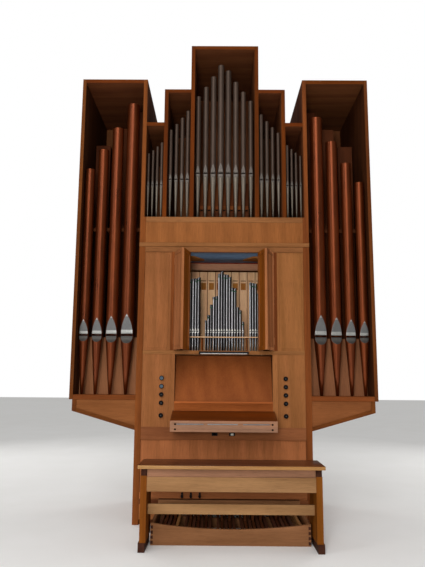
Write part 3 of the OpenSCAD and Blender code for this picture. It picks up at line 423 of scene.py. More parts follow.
def ease_edges(bm, width, segments=2):
    """Rounds the outward edges a little, so that they catch the light."""
    if width <= 0:
        return
    edges = [e for e in bm.edges if len(e.link_faces) == 2 and e.is_convex
             and e.calc_face_angle(0) > math.radians(EDGE)]
    bmesh.ops.bevel(bm, geom=edges, offset=width, offset_type="OFFSET", segments=segments,
                    profile=0.5, affect="EDGES", clamp_overlap=True)


def dress(node, mats, choose=None, ease=0.0015, segments=2, merge=True):
    """A CAD node with eased edges and wood on its faces."""
    bm = bmesh.new()
    bm.from_mesh(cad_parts[node].data)
    bmesh.ops.remove_doubles(bm, verts=bm.verts, dist=2e-5)
    if merge:
        bmesh.ops.dissolve_limit(bm, angle_limit=math.radians(0.5), verts=bm.verts, edges=bm.edges)
    bm.normal_update()
    ease_edges(bm, ease, segments)
    bm.normal_update()
    number_boards(bm, node, choose)
    link(node + "_skin", bm, mats, nodes=[node], smooth=SHARP)


def add_box(bm, lo, hi, index=0):
    """A closed box in a mesh under way."""
    corners = [(x, y, z) for x in (lo[0], hi[0]) for y in (lo[1], hi[1]) for z in (lo[2], hi[2])]
    v = [bm.verts.new(c) for c in corners]
    for ids in ((0, 1, 3, 2), (4, 6, 7, 5), (0, 4, 5, 1), (2, 3, 7, 6), (0, 2, 6, 4), (1, 5, 7, 3)):
        bm.faces.new([v[i] for i in ids]).material_index = index


def boxes(name, parts, mats, ease=0.0012, nodes=()):
    """Boards given as (x, y, z, material), with y counted backwards from the case front."""
    bm = bmesh.new()
    for x, y, z, index in parts:
        add_box(bm, (x[0], FRONT + y[0], z[0]), (x[1], FRONT + y[1], z[1]), index)
    bm.normal_update()
    ease_edges(bm, ease)
    number_boards(bm, name)
    link(name, bm, mats, nodes=nodes, smooth=SHARP)


def add_sides(bm, front, back, index=0):
    """The faces between two equal outlines."""
    for i in range(len(front)):
        j = (i + 1) % len(front)
        bm.faces.new((front[i], back[i], back[j], front[j])).material_index = index


def add_lathe(bm, profile, centre, axis="z", steps=32, index=0):
    """A turned shape: profile holds (radius, height) pairs from one end to the other."""
    rings = []
    for r, h in profile:
        ring = []
        for k in range(steps):
            a = TAU * k / steps
            u, v = r * math.cos(a), r * math.sin(a)
            p = {"z": (u, v, h), "y": (u, -h, v), "x": (h, u, v)}[axis]
            ring.append(bm.verts.new(Vector(centre) + Vector(p)))
        rings.append(ring)
    for a, b in zip(rings, rings[1:]):
        for k in range(steps):
            f = bm.faces.new((a[k], a[(k + 1) % steps], b[(k + 1) % steps], b[k]))
            f.material_index = index
            f.smooth = True
    return rings


def close_lathe(bm, rings, index=0):
    """Closes both ends of a turned shape."""
    for ring in (rings[0], rings[-1]):
        bm.faces.new(ring).material_index = index


# Pipes
def ogive(w, h):
    """Half-width of a pointed lip at each height."""
    big = (h * h + w * w / 4) / w
    return lambda z: math.sqrt(max(big * big - z * z, 0)) - (big - w / 2)


def bowl(w, h):
    """Half-width of a lower lip at each depth under its top."""
    return lambda z: w / 2 * math.sqrt(max(1 - (z / h) ** 2.4, 0))


class Pipe:
    """The rings of one metal pipe that stands with its toe at a point, its mouth towards the player."""

    def __init__(self, x, y, z, d, foot, body, wall, toe, mouth, cut, up_h, low_h):
        self.at = Vector((x, FRONT + y, z))
        self.r, self.foot, self.body, self.wall, self.toe = d / 2, foot, body, wall, toe / 2
        self.mouth, self.cut = mouth, cut
        self.up_h, self.low_h = up_h, low_h
        self.lip_z = foot + 2 * wall + cut

    def radius(self, z):
        return self.r if z >= self.foot else self.toe + (self.r - self.toe) * z / self.foot

    def ring(self, z, w, front, back):
        """Points round the pipe at a height, flat across the front over half-width w."""
        r = self.radius(z)
        w = min(max(w, 0.0004), 0.98 * r)
        flat = -math.sqrt(r * r - w * w)
        phi = math.asin(w / r)
        pts = [(w * (2 * k / front - 1), flat) for k in range(front + 1)]
        for k in range(1, back):
            a = phi + (TAU - 2 * phi) * k / back
            pts.append((r * math.sin(a), -r * math.cos(a)))
        return [self.at + Vector((px, py, z)) for px, py in pts]


def add_pipe(bm, layer, pipe, number, front, back, lip_index, foot_index, lip_steps=9):
    """The shell of a pipe, with pressed lips and an open mouth.

    Each row holds a height, the half-width of the flat there, and 0 for the foot, 1 for a lip,
    2 for the upper edge of the mouth or 3 for the body.
    """
    low, up = bowl(pipe.mouth, pipe.low_h), ogive(pipe.mouth, pipe.up_h)
    rows = [(0.0, 0.0, 0), (0.35 * pipe.foot, 0.0, 0), (pipe.foot - 1.12 * pipe.low_h, 0.0, 0)]
    for k in range(lip_steps + 1):
        depth = pipe.low_h * math.sin(math.pi / 2 * (1 - k / lip_steps))
        rows.append((pipe.foot - depth, low(depth), 1))
    rows.append((pipe.lip_z, pipe.mouth / 2, 2))
    for k in range(1, lip_steps + 3):
        z = pipe.up_h * math.sin(math.pi / 2 * k / (lip_steps + 2)) ** 0.9
        rows.append((pipe.lip_z + z, up(z), 1))
    top = pipe.foot + pipe.body
    start = rows[-1][0]
    for k in range(1, 4):
        rows.append((start + (top - 0.004 - start) * k / 3, 0.0, 3))
    rows.append((top, 0.0, 3))
    rings = []
    for z, w, _ in rows:
        ring = [bm.verts.new(p) for p in pipe.ring(z, w, front, back)]
        for v in ring:
            v[layer] = number
        rings.append(ring)
    count = front + back
    for i in range(len(rows) - 1):
        a, b = rings[i], rings[i + 1]
        for k in range(count):
            across = k < front
            if across and rows[i + 1][2] == 2:
                continue
            f = bm.faces.new((a[k], a[(k + 1) % count], b[(k + 1) % count], b[k]))
            f.smooth = True
            in_lip = across and rows[i][2] in (1, 2) and rows[i + 1][2] in (1, 2)
            in_foot = rows[i + 1][0] <= pipe.foot + 0.0001
            f.material_index = lip_index if in_lip else foot_index if in_foot else 0


def add_languid(bm, layer, pipe, number):
    """The plate across the pipe at its mouth, with the windway left open before it."""
    steps = 20
    r = pipe.r - pipe.wall
    flat = -math.sqrt(pipe.r ** 2 - (pipe.mouth / 2) ** 2) + 2.2 * pipe.wall
    pts = []
    for k in range(steps):
        a = TAU * k / steps
        pts.append((r * math.sin(a), max(-r * math.cos(a), flat)))
    for z in (pipe.foot, pipe.foot + 1.5 * pipe.wall):
        ring = [bm.verts.new(pipe.at + Vector((px, py, z))) for px, py in pts]
        for v in ring:
            v[layer] = number
        bm.faces.new(ring if z > pipe.foot else ring[::-1])


def add_ears(bm, layer, pipe, number):
    """A small plate at each side of a mouth."""
    w = pipe.mouth / 2
    flat = -math.sqrt(pipe.r ** 2 - w * w)
    reach, t = 0.16 * pipe.r, max(pipe.wall * 0.7, 0.0008)
    low, high = pipe.foot - 0.9 * pipe.cut, pipe.lip_z + 1.1 * pipe.cut
    for side in (-1, 1):
        root, bend, tip = flat + 0.05 * pipe.r, flat - 0.4 * reach, flat - reach
        outline = [(root, low), (bend, low), (tip, low + 0.35 * pipe.cut),
                   (tip, high - 0.35 * pipe.cut), (bend, high), (root, high)]
        sides = []
        for x in (side * w, side * (w + t)):
            ring = [bm.verts.new(pipe.at + Vector((x, y, z))) for y, z in outline]
            for v in ring:
                v[layer] = number
            sides.append(ring)
        bm.faces.new(sides[0])
        bm.faces.new(sides[1][::-1])
        add_sides(bm, *sides)


def pipes(name, rank, mats, node, front, back, ears=False, lips=1, steps=9, feet=0):
    """A row of pipes as one piece."""
    bm = bmesh.new()
    layer = bm.verts.layers.float.new("board")
    rng = random.Random(name)
    numbers = [rng.random() for _ in rank]
    for pipe, number in zip(rank, numbers):
        add_pipe(bm, layer, pipe, number, front, back, lips, feet, steps)
    outward(bm)
    obj = link(name, bm, mats, "case", [node] if node else [])
    thick = obj.modifiers.new("thickness", "SOLIDIFY")
    thick.thickness = rank[0].wall
    thick.offset = -1
    bm = bmesh.new()
    layer = bm.verts.layers.float.new("board")
    for pipe, number in zip(rank, numbers):
        add_languid(bm, layer, pipe, number)
        if ears:
            add_ears(bm, layer, pipe, number)
    outward(bm)
    link(name + "_mouths", bm, mats[:1])


# Sizes of the tin pipes, in metres, as the solid model has them
TIN_Y = 0.065
MOUTH_SHARE, CUT_SHARE = 0.76, 0.22
CENTRE_W, CENTRE_D, CENTRE_BODY = 0.586, 0.060, 1.128
CENTRE_SHARES = (0.706, 0.794, 0.892, 1, 0.948, 0.842, 0.75, 0.667)


def tin_rank(places, foot):
    """Tin pipes of one field, from (x, diameter, body length)."""
    return [Pipe(x, TIN_Y, STAND, d, foot, body, wall=0.0015, toe=d / 3, mouth=MOUTH_SHARE * d,
                 cut=CUT_SHARE * MOUTH_SHARE * d, up_h=1.55 * d, low_h=0.7 * d)
            for x, d, body in places]


def side_places(side, x, w, d, body, step):
    """Places in a side field that starts at x and is w wide, each pipe shorter by the step."""
    return [(side * (x + w * (i + 0.5) / 4), d * (step ** -i) ** 0.75, body * step ** -i)
            for i in range(4)]


centre = [((i - 3.5) * CENTRE_W / 8, CENTRE_D * s ** 0.75, CENTRE_BODY * s)
          for i, s in enumerate(CENTRE_SHARES)]
TIN_MATS = [TIN, TIN_MOUTH, TIN_FOOT]
pipes("tin_centre", tin_rank(centre, foot=0.445), TIN_MATS, "tin_pipes_centre", 6, 26,
      ears=True, feet=2)
sides = []
for side, share in ((-1, 1.0), (1, 0.95)):
    sides += tin_rank(side_places(side, x=0.330, w=0.221, d=0.041, body=0.707 * share, step=1.115),
                      foot=0.384)
    sides += tin_rank(side_places(side, x=0.588, w=0.169, d=0.029, body=0.434 * share, step=1.105),
                      foot=0.329)
pipes("tin_sides", sides, TIN_MATS, "tin_pipes_sides", 6, 20, ears=True, steps=7, feet=2)


# Copper pipes with their tin lips, fitted in the towers' inner width
COPPER_STEP = 1.122
COPPER_Y, COPPER_STAND, COPPER_FOOT, COPPER_BODY = 0.100, 1.115, 0.536, 2.288
TOWER_W, COPPER_WALL_GAP, COPPER_GAP, COPPER_EDGE_GAP = 0.565, 0.044, 0.029, 0.010
COPPER_CUT_SHARE = 0.15 * 0.84


def copper_scale(i):
    return COPPER_STEP ** (-0.85 * i)


COPPER_D = ((TOWER_W - COPPER_WALL_GAP - 3 * COPPER_GAP - COPPER_EDGE_GAP)
            / sum(copper_scale(i) for i in range(4)))


def copper_rank(side):
    """The four copper pipes of a tower, the longest beside the main case."""
    share, step = (1.0, COPPER_STEP) if side < 0 else (0.942, 1.129)
    x, rank = TOWER_IN - COPPER_EDGE_GAP, []
    for i in (3, 2, 1, 0):
        d = COPPER_D * copper_scale(i)
        x -= d / 2
        rank.append(Pipe(side * x, COPPER_Y, COPPER_STAND, d, COPPER_FOOT, COPPER_BODY * share * step ** -i,
                         wall=0.002, toe=0.026, mouth=0.88 * d, cut=COPPER_CUT_SHARE * d,
                         up_h=0.183 * copper_scale(i), low_h=0.070 * copper_scale(i)))
        x -= d / 2 + COPPER_GAP
    return rank


def add_plate(bm, layer, pipe, rows, number):
    """A lip plate laid on the flat of a pipe, with its rim turned down to the pipe."""
    across, thick = 12, 0.0012
    grid = []
    for z, w in rows:
        r = pipe.radius(z)
        w = min(max(w, 0.0006), 0.98 * r)
        flat = -math.sqrt(r * r - w * w)
        line = []
        for k in range(across + 1):
            t = 2 * k / across - 1
            lift = thick if abs(t) < 1 else 0.0002
            x = w * (0.97 * t if abs(t) < 1 else t)
            line.append(bm.verts.new(pipe.at + Vector((x, flat - lift, z))))
        grid.append(line)
    for a, b in zip(grid, grid[1:]):
        for k in range(across):
            f = bm.faces.new((a[k], a[k + 1], b[k + 1], b[k]))
            f.smooth = True
    for line in grid:
        for v in line:
            v[layer] = number
    return grid


def copper_lips(ranks):
    """The raised tin lips of the copper pipes, the upper one with a painted highlight at both ends, the lower
    one dull.
    """
    bm = bmesh.new()
    layer = bm.verts.layers.float.new("board")
    rng = random.Random(5)
    for pipe in ranks:
        number = rng.random()
        up, low = ogive(pipe.mouth, pipe.up_h), bowl(pipe.mouth, pipe.low_h)
        before = len(bm.faces)
        heights = [pipe.lip_z + pipe.up_h * math.sin(math.pi / 2 * k / 18) ** 0.9 for k in range(19)]
        grid = add_plate(bm, layer, pipe, [(z, up(z - pipe.lip_z)) for z in heights], number)
        edge_below(bm, layer, grid[0], number, pipe.wall + 0.001)
        bm.faces.ensure_lookup_table()
        for f in bm.faces[before:]:
            # Painted highlight: brighter tin on the lowest part and the tip of each upper lip
            share = (f.calc_center_median().z - pipe.at.z - pipe.lip_z) / pipe.up_h
            f.material_index = 0 if share < 0.22 or share > 0.88 else 1
        before = len(bm.faces)
        depths = [pipe.low_h * math.sin(math.pi / 2 * k / 12) for k in range(12, -1, -1)]
        grid = add_plate(bm, layer, pipe, [(pipe.foot - depth, low(depth)) for depth in depths], number)
        edge_below(bm, layer, grid[-1], number, pipe.wall + 0.001)
        bm.faces.ensure_lookup_table()
        for f in bm.faces[before:]:
            f.material_index = 2
    outward(bm)
    link("copper_lips_plates", bm, [LIP_HIGHLIGHT, TIN_LIP, LOW_LIP], "case", ["copper_lips"])


def edge_below(bm, layer, line, number, depth):
    """The thickness of a lip at the mouth."""
    back = []
    for v in line:
        w = bm.verts.new(v.co + Vector((0, depth, 0)))
        w[layer] = number
        back.append(w)
    for k in range(len(line) - 1):
        bm.faces.new((line[k], line[k + 1], back[k + 1], back[k]))


left_rank, right_rank = copper_rank(-1), copper_rank(1)
for name, rank in (("left", left_rank), ("right", right_rank)):
    pipes("copper_" + name, rank, [COPPER], "copper_pipes_" + name, 8, 40, lips=0, steps=12)
copper_lips(left_rank + right_rank)


# Small pipes of the cupboard: a taller group at each end and a middle group that falls away to both sides
SMALL_SHARES = (0.87, 0.88, 0.88, 0.90,
                0.19, 0.28, 0.45, 0.58, 0.59, 0.965, 1, 0.95, 0.945, 0.91, 0.73, 0.72, 0.41, 0.36, 0.17,
                0.82, 0.81, 0.80, 0.64)
CHEST_TOP = 1.508
SMALL_X0, SMALL_PITCH, SMALL_END_GAP = -0.020, 0.025, 0.044
MIDDLE_FIRST, MIDDLE_LAST = -6, 8


def small_x(i, row):
    gap = 0 if MIDDLE_FIRST <= i <= MIDDLE_LAST else math.copysign(SMALL_END_GAP, i)
    return SMALL_X0 + i * SMALL_PITCH + gap + row * SMALL_PITCH / 3


small = []
for row in range(2):
    for i, s in zip(range(-10, 13), SMALL_SHARES):
        d = 0.022 * s ** 0.25
        small.append(Pipe(small_x(i, row), 0.120 + 0.060 * row, CHEST_TOP, d, foot=0.190,
                          body=0.570 * s * (1 + 0.03 * row), wall=0.001, toe=0.46 * d,
                          mouth=MOUTH_SHARE * d, cut=0.30 * d, up_h=1.1 * d, low_h=0.55 * d))
row_count = len(SMALL_SHARES)
pipes("small_metal_pipes", small[:row_count], [SMALL_TIN_SHADED_SIDES, SMALL_LIP], "small_pipes",
      4, 14, steps=5)
pipes("small_back_pipes", small[row_count:], [SMALL_BACK_SHADED, SMALL_BACK_SHADED], "", 4, 14, steps=5)


def small_caps():
    """The tuning caps on the small pipes, with a felt ring under two caps of three."""
    metal_bm, felt_bm = bmesh.new(), bmesh.new()
    for bm in (metal_bm, felt_bm):
        bm.verts.layers.float.new("board")
    for k, pipe in enumerate(small):
        top = pipe.at + Vector((0, 0, pipe.foot + pipe.body))
        r, tall = pipe.r + 0.0012, 0.020 + 0.45 * pipe.r
        profile = [(r, -tall), (r, -0.001), (r - 0.001, 0.0), (0.25 * r, 0.0015), (0.001, 0.0015)]
        rings = add_lathe(metal_bm, profile, top, steps=18)
        metal_bm.faces.new(rings[-1])
        if k % 3 != 1:
            add_lathe(felt_bm, [(r - 0.001, -tall - 0.0085), (r + 0.0014, -tall - 0.008),
                                (r + 0.0014, -tall - 0.001), (r - 0.001, -tall)], top, steps=18)
    link("small_pipe_caps", metal_bm, [SMALL_TIN_SHADED_SIDES], smooth=40)
    link("small_pipe_felts", felt_bm, [FELT], smooth=40)


small_caps()


# Case. Each chooser takes a face's centre and normal and its board's lowest and highest corner
def to_player(n):
    """Whether a face with this normal looks towards the player."""
    return n.y < -0.6


dress("base_frame", [grained("deep", "x")])
dress("case_walls", [grained("post", "z"), grained("inside", "z"), grained("upper", "z")],
      lambda c, n, lo, hi: (2 if to_player(n) and c.z > STAND - 0.1
                            else 0 if to_player(n) or abs(c.x) > MAIN_HALF - 0.005 else 1), ease=0.002)
dress("roofs", [grained("upper", "x"), grained("inside", "x")],
      lambda c, n, lo, hi: 0 if to_player(n) or n.z > 0.5 else 1, ease=0.002)
dress("back_boards", [grained("back", "z")])
# The inner faces of the tower walls take the darker wood, painted shade
dress("tower_walls", [grained("tower", "z"), grained("painted_shade", "z")],
      lambda c, n, lo, hi: 1 if abs(c.x) < TOWER_IN + 0.0005 else 0, ease=0.002)
dress("tower_floors", [grained("post", "x"), grained("desk", "x")],
      lambda c, n, lo, hi: 0 if to_player(n) else 1, ease=0.002)


# Brackets under the towers, their panel framed at the outer end and along the slope
def add_prism(bm, outline, near, far, index):
    front = [bm.verts.new((x, near, z)) for x, z in outline]
    back = [bm.verts.new((x, far, z)) for x, z in outline]
    bm.faces.new(front).material_index = index
    bm.faces.new(back[::-1]).material_index = index
    add_sides(bm, front, back, index)


def brackets():
    """The boards under the towers, deepest at the main case, with a rim along the end and the slope."""
    root, end, top = MAIN_HALF, 1.3640, 1.072
    low_root, low_end, rim, sink = top - 0.265, top - 0.101, 0.035, 0.010
    fall = (low_end - low_root) / (end - root)
    lift = rim * math.sqrt(1 + fall * fall)
    bm = bmesh.new()
    for side in (-1, 1):
        core = [(root, top), (end, top), (end, low_end), (root, low_root)]
        stile = [(end - rim, top), (end, top), (end, low_end), (end - rim, low_end - fall * rim)]
        foot = end - rim - 0.0008
        slope = [(root, low_root), (foot, low_end - fall * (end - foot)),
                 (foot, low_end - fall * (end - foot) + lift), (root, low_root + lift)]
        add_prism(bm, [(side * x, z) for x, z in core], FRONT + sink, -FRONT - sink, 0)
        for near, far in ((FRONT, FRONT + sink), (-FRONT - sink, -FRONT)):
            for outline in (stile, slope):
                add_prism(bm, [(side * x, z) for x, z in outline], near, far, 1)
    outward(bm)
    number_boards(bm, "brackets")
    link("bracket_boards", bm, [grained("bracket", "x"), grained("tower", "x")],
         nodes=["tower_brackets"])


brackets()
dress("tower_chests", [grained("chest", "z")])
dress("tower_racks", [grained("deep", "x")])
dress("bass_pipes", [grained("treble", "z"), grained("bass", "z")],
      lambda c, n, lo, hi: 0 if abs(lo.x) < 0.5 and abs(hi.x) < 0.5 else 1, ease=0.003)


# Small wooden pipes behind the feet of the centre field. On each: half-width, thickness, lower and
# upper end above the stand, and material of the board over the mouth, of the mouth (dark, painted shade in
# the opening) and of the cap
TREBLE_Y = 0.190
TREBLE_BOARDS = ((0.0168, 0.0045, 0.128, 0.166, 0),
                 (0.0125, 0.0012, 0.112, 0.127, 1),
                 (0.0169, 0.0040, 0.004, 0.100, 2))


def treble_fronts():
    parts = []
    for (left, _, _), (right, _, _) in zip(centre, centre[1:]):
        x = (left + right) / 2
        for half, thick, low, high, index in TREBLE_BOARDS:
            parts.append(((x - half, x + half), (TREBLE_Y - thick, TREBLE_Y - 0.0002),
                          (STAND + low, STAND + high), index))
    boxes("treble_fronts", parts, [grained("post", "x"), HOLE, grained("deep", "z")],
          ease=0.0006)


treble_fronts()
dress("front_posts", [grained("post", "z"), grained("panel", "z")],
      lambda c, n, lo, hi: 1 if hi.z < 1.5 and abs(c.x) < 0.7 else 0, ease=0.002)
dress("front_rails", [grained("rail", "x"), grained("low_rail", "x")],
      lambda c, n, lo, hi: 1 if hi.z < 1.0 else 0, ease=0.002)
dress("side_panels", [grained("panel", "z")], ease=0.0015)
dress("console_panels", [grained("panel", "z")], ease=0.0, merge=False)
dress("knee_panel", [grained("knee", "z"), grained("knee", "x")],
      lambda c, n, lo, hi: 1 if c.z < 0.29 else 0, ease=0.0015)
dress("great_chest", [grained("deep", "x")])


# Fascia: a top rail and a board under it, over the rounded moulding
def fascia():
    half, top, low, out = CORNER_IN, STAND, 2.486, 0.009
    boxes("fascia_boards", [((-half, half), (0, 0.030), (top - 0.050, top), 0),
                            ((-half, half), (0.0012, 0.030), (low, top - 0.0512), 1)],
          [grained("rail", "x"), grained("fascia", "z")], ease=0.0012, nodes=["fascia"])
    bm = bmesh.new()
    outline = [(0.0, 2.525), (-0.006, 2.525), (-out, 2.522), (-out, 2.496)]
    outline += [(-out * math.cos(a), 2.495 - out * math.sin(a)) for a in
                (math.radians(15 * k) for k in range(1, 7))]
    ends = [[bm.verts.new((x, FRONT + y, z)) for y, z in outline] for x in (-MAIN_HALF, MAIN_HALF)]
    bm.faces.new(ends[0])
    bm.faces.new(ends[1][::-1])
    add_sides(bm, *ends)
    outward(bm)
    number_boards(bm, "moulding")
    link("fascia_moulding", bm, [grained("rail", "x")], smooth=30)


fascia()

# Cupboard
CEILING_Z = 2.4449
dress("cupboard_sides", [grained("pale", "z")])
dress("cupboard_ceiling", [CEILING, grained("beam", "x"), grained("cap", "x")],
      lambda c, n, lo, hi: 0 if c.z > CEILING_Z else 1 if c.y > FRONT + 0.5 else 2, ease=0.0, merge=False)
boxes("beam_strip", [((-0.470, 0.470), (0.547, 0.551), (2.433, CEILING_Z), 0)], [grained("red", "x")])
dress("cupboard_chest", [grained("pale", "x"), grained("post", "z")],
      lambda c, n, lo, hi: 1 if 1.510 < c.z < 1.640 else 0, ease=0.0, merge=False)
# The faces inside each pipe's mouth take the dark hole colour: painted shade.
dress("wooden_pipes", [grained("pale", "z"), grained("cap", "z"), HOLE],
      lambda c, n, lo, hi: 2 if 2.2401 < c.z < 2.2479 and c.y > lo.y + 0.008
      else 1 if c.y < lo.y + 0.0068 else 0, ease=0.0012)
dress("folding_doors", [grained("door", "z"), BRASS, grained("door_in", "z")],
      lambda c, n, lo, hi: 1 if hi.z - lo.z < 0.1 else 2 if n.x * c.x < -0.8 * abs(c.x) else 0, ease=0.0018)

# Console
dress("music_desk", [grained("desk", "z"), grained("ledge", "x")],
      lambda c, n, lo, hi: 1 if c.z < 1.075 else 0, ease=0.0015)
dress("key_desk", [grained("deep", "x")])
dress("key_cover", [grained("cover_front", "x"), grained("cover_top", "x")],
      lambda c, n, lo, hi: 0 if to_player(n) or c.z < 0.9 and n.z > -0.5 else 1, ease=0.0012)
dress("console_fittings", [STEEL, PLASTIC],
      lambda c, n, lo, hi: 0 if lo.z > 0.85 else 1, ease=0.0008)


# Places of the small fittings
SCREW_X, SCREW_Z = (-0.414, 0.414), (0.837, 0.880)
KEYHOLE_AT = (0.256, FRONT + 0.0160, 0.537)
STUD_AT = (-MAIN_HALF, FRONT + 0.060, 1.186)
SWITCH_X, SWITCH_HALF, SWITCH_Z = (-0.0785, 0.0785), 0.012, (0.7675, 0.7845)


def fittings():
    """Dark screw heads, a keyhole, a stud on the main case's left side, and the switches' faces."""
    bm = bmesh.new()
    bm.verts.layers.float.new("board")
    for x in SCREW_X:
        for z in SCREW_Z:
            rings = add_lathe(bm, [(0.0085, 0.0), (0.0085, 0.0008), (0.0072, 0.0014), (0.001, 0.0016)],
                              (x, FRONT - 0.2798, z), "y", 20, 1)
            bm.faces.new(rings[-1]).material_index = 1
    profile = [(0.010, 0.0), (0.010, 0.001), (0.007, 0.0022), (0.0045, 0.0022), (0.0045, 0.0)]
    rings = add_lathe(bm, profile, KEYHOLE_AT, "y", 24, 2)
    # The keyhole's opening is a dark disc: painted shade.
    bm.faces.new(rings[-1]).material_index = 1
    profile = [(0.0075, 0.0), (0.0075, -0.003), (0.0060, -0.0045), (0.001, -0.0050)]
    rings = add_lathe(bm, profile, STUD_AT, "x", 20, 0)
    bm.faces.new(rings[-1]).material_index = 0
    for x in SWITCH_X:
        add_box(bm, (x - SWITCH_HALF, FRONT - 0.0106, SWITCH_Z[0]),
                (x + SWITCH_HALF, FRONT - 0.0078, SWITCH_Z[1]), 1 if x < 0 else 3)
    for f in bm.faces:
        f.smooth = True
    link("front_fittings", bm, [STEEL, HOLE, BRASS, CREAM], smooth=35)


fittings()


def lamp():
    """A reflector hood with its tube under it, on two arms."""
    bm = bmesh.new()
    cy, cz, half, arm_x = FRONT - 0.034, 1.496, 0.226, 0.212
    outline = []
    for radius, steps in ((0.012, range(13)), (0.0108, range(12, -1, -1))):
        for k in steps:
            a = math.radians(-20 + 220 * k / 12)
            outline.append((radius * math.cos(a), radius * math.sin(a)))
    ends = [[bm.verts.new((x, cy + u, cz + v)) for u, v in outline] for x in (-half + 0.006, half - 0.006)]
    bm.faces.new(ends[0])
    bm.faces.new(ends[1][::-1])
    add_sides(bm, *ends)
    for side in (-1, 1):
        x = side * half
        rings = add_lathe(bm, [(0.0122, 0.0), (0.0128, side * -0.001), (0.0128, side * -0.012),
                               (0.0118, side * -0.014)], (x, cy, cz), "x", 24, 1)
        close_lathe(bm, rings, 1)
        arm = side * arm_x
        add_box(bm, (arm - 0.007, cy + 0.009, cz - 0.010), (arm + 0.007, FRONT, cz + 0.010), 1)
    outward(bm)
    number_boards(bm, "lamp")
    link("lamp_hood", bm, [HOOD, PLASTIC], "case", ["desk_lamp"], 40)
    bm = bmesh.new()
    rings = add_lathe(bm, [(0.005, -half + 0.013), (0.0078, -half + 0.015), (0.0078, half - 0.015),
                           (0.005, half - 0.013)], (0, cy, cz - 0.003), "x", 24)
    close_lathe(bm, rings)
    link("lamp_tube", bm, [TUBE], smooth=40)


lamp()


# Draw knobs: four in a row and one apart under them, each side of the console
KNOB_X, KNOB_TOP_Z, KNOB_PITCH, KNOB_LOW_Z = 0.561, 1.268, 0.0736, 0.937
PANEL_SINK, KNOB_REST_GAP = 0.005, 0.002
# Radius of the wide faces of the two upper left knobs, and of the grey dot painted as a highlight on the
# others
WIDE_FACE_R, HIGHLIGHT_DOT_R = 0.0160, 0.0060


def knob(side, i):
    """A turned draw knob with a dished face, on its stem."""
    name = f"knob_{side}_{i + 1}"
    x = -KNOB_X if side == "left" else KNOB_X
    z = KNOB_TOP_Z - i * KNOB_PITCH if i < 4 else KNOB_LOW_Z
    bm = bmesh.new()
    profile = [(0.007, -0.074), (0.007, 0.0), (0.0108, 0.0002), (0.0117, 0.0012), (0.0115, 0.0035),
               (0.0124, 0.0055), (0.0166, 0.0078), (0.0201, 0.0100), (0.0209, 0.0130), (0.0206, 0.0162),
               (0.0195, 0.0192), (0.0175, 0.0207), (0.0155, 0.0209), (0.0139, 0.0202), (0.0122, 0.0196),
               (0.0080, 0.0192), (0.0045, 0.0190), (0.0008, 0.0189)]
    rings = add_lathe(bm, profile, (x, FRONT + PANEL_SINK - KNOB_REST_GAP, z), "y", 40)
    close_lathe(bm, rings, 1)
    wide = side == "left" and i < 2
    for f in bm.faces:
        c = f.calc_center_median()
        reach = math.hypot(c.x - x, c.z - z)
        # On the other knobs, a grey dot at the face's centre is a painted highlight
        if c.y < FRONT - 0.0150 and reach < (WIDE_FACE_R if wide else HIGHLIGHT_DOT_R):
            f.material_index = 1
    outward(bm)
    number_boards(bm, name)
    link(name + "_turned", bm, [BLACK, KNOB_BLUE if wide else KNOB_HIGHLIGHT], name, [name], 40)


for side in ("left", "right"):
    for i in range(5):
        knob(side, i)

# Pedalboard and bench
PEDAL_SIDE_X = 0.604
dress("pedal_frame", [grained("pedal", "x"), grained("pedal", "y")],
      lambda c, n, lo, hi: 1 if abs(abs(c.x - BENCH_X) - PEDAL_SIDE_X) < 0.013 and c.y > FRONT - 0.62 else 0,
      ease=0.002, merge=False)
dress("pedal_naturals", [grained("key", "y"), grained("key_light", "y")],
      lambda c, n, lo, hi: 1 if -0.39 < lo.x < -0.33 or 0.57 < lo.x < 0.63 else 0, ease=0.002)
dress("pedal_sharps", [grained("deep", "y")], ease=0.003)
# Painted light: the seat's top faces take the dark copy and all its other faces the light one
dress("bench_seat", [grained("seat_edge_painted_light", "x"), grained("seat", "x")],
      lambda c, n, lo, hi: 1 if n.z > 0.9 else 0, ease=0.009, segments=4, merge=False)
dress("bench_sides", [grained("leg", "z"), grained("block", "y")],
      lambda c, n, lo, hi: 1 if c.z < 0.067 or c.z > 0.545 else 0, ease=0.002)
dress("bench_rails", [grained("apron", "x"), grained("apron_top", "x")],
      lambda c, n, lo, hi: 1 if c.z > 0.5345 else 0, ease=0.0018)

# Boards that close the case beside the pedalboard: distance of the inner end from its middle,
# depth, height and material
TOE_BOARDS = ((0.618, (0.004, 0.024), (0.046, 0.223), 0),
              (0.6175, (-0.040, -0.015), (0.182, 0.220), 1))
# The second board of each side takes the darker inside wood as painted shade
boxes("toe_boards", [(sorted((side * CORNER_IN, BENCH_X + side * inner)), y, z, index)
                     for side in (-1, 1) for inner, y, z, index in TOE_BOARDS],
      [grained("knee", "x"), grained("inside", "x")])

# Cheeks of the console's recess, behind the stiles and beside the leaning music desk, in dark wood as painted
# shade
CHEEK_X = (0.4442, 0.4558)
boxes("recess_cheeks", [(sorted(side * x for x in CHEEK_X), (0.0302, 0.160), (1.0632, 1.4826), 0)
                        for side in (-1, 1)],
      [grained("painted_shade", "z")])

# Dovetails at the corners of the pedalboard's front board, and plates behind the toe studs
DOVETAIL_X, DOVETAIL_W, DOVETAIL_H, DOVETAIL_PITCH = 0.6165, 0.020, 0.011, 0.037
TOE_STUD_X = (-0.360, -0.283, -0.205)


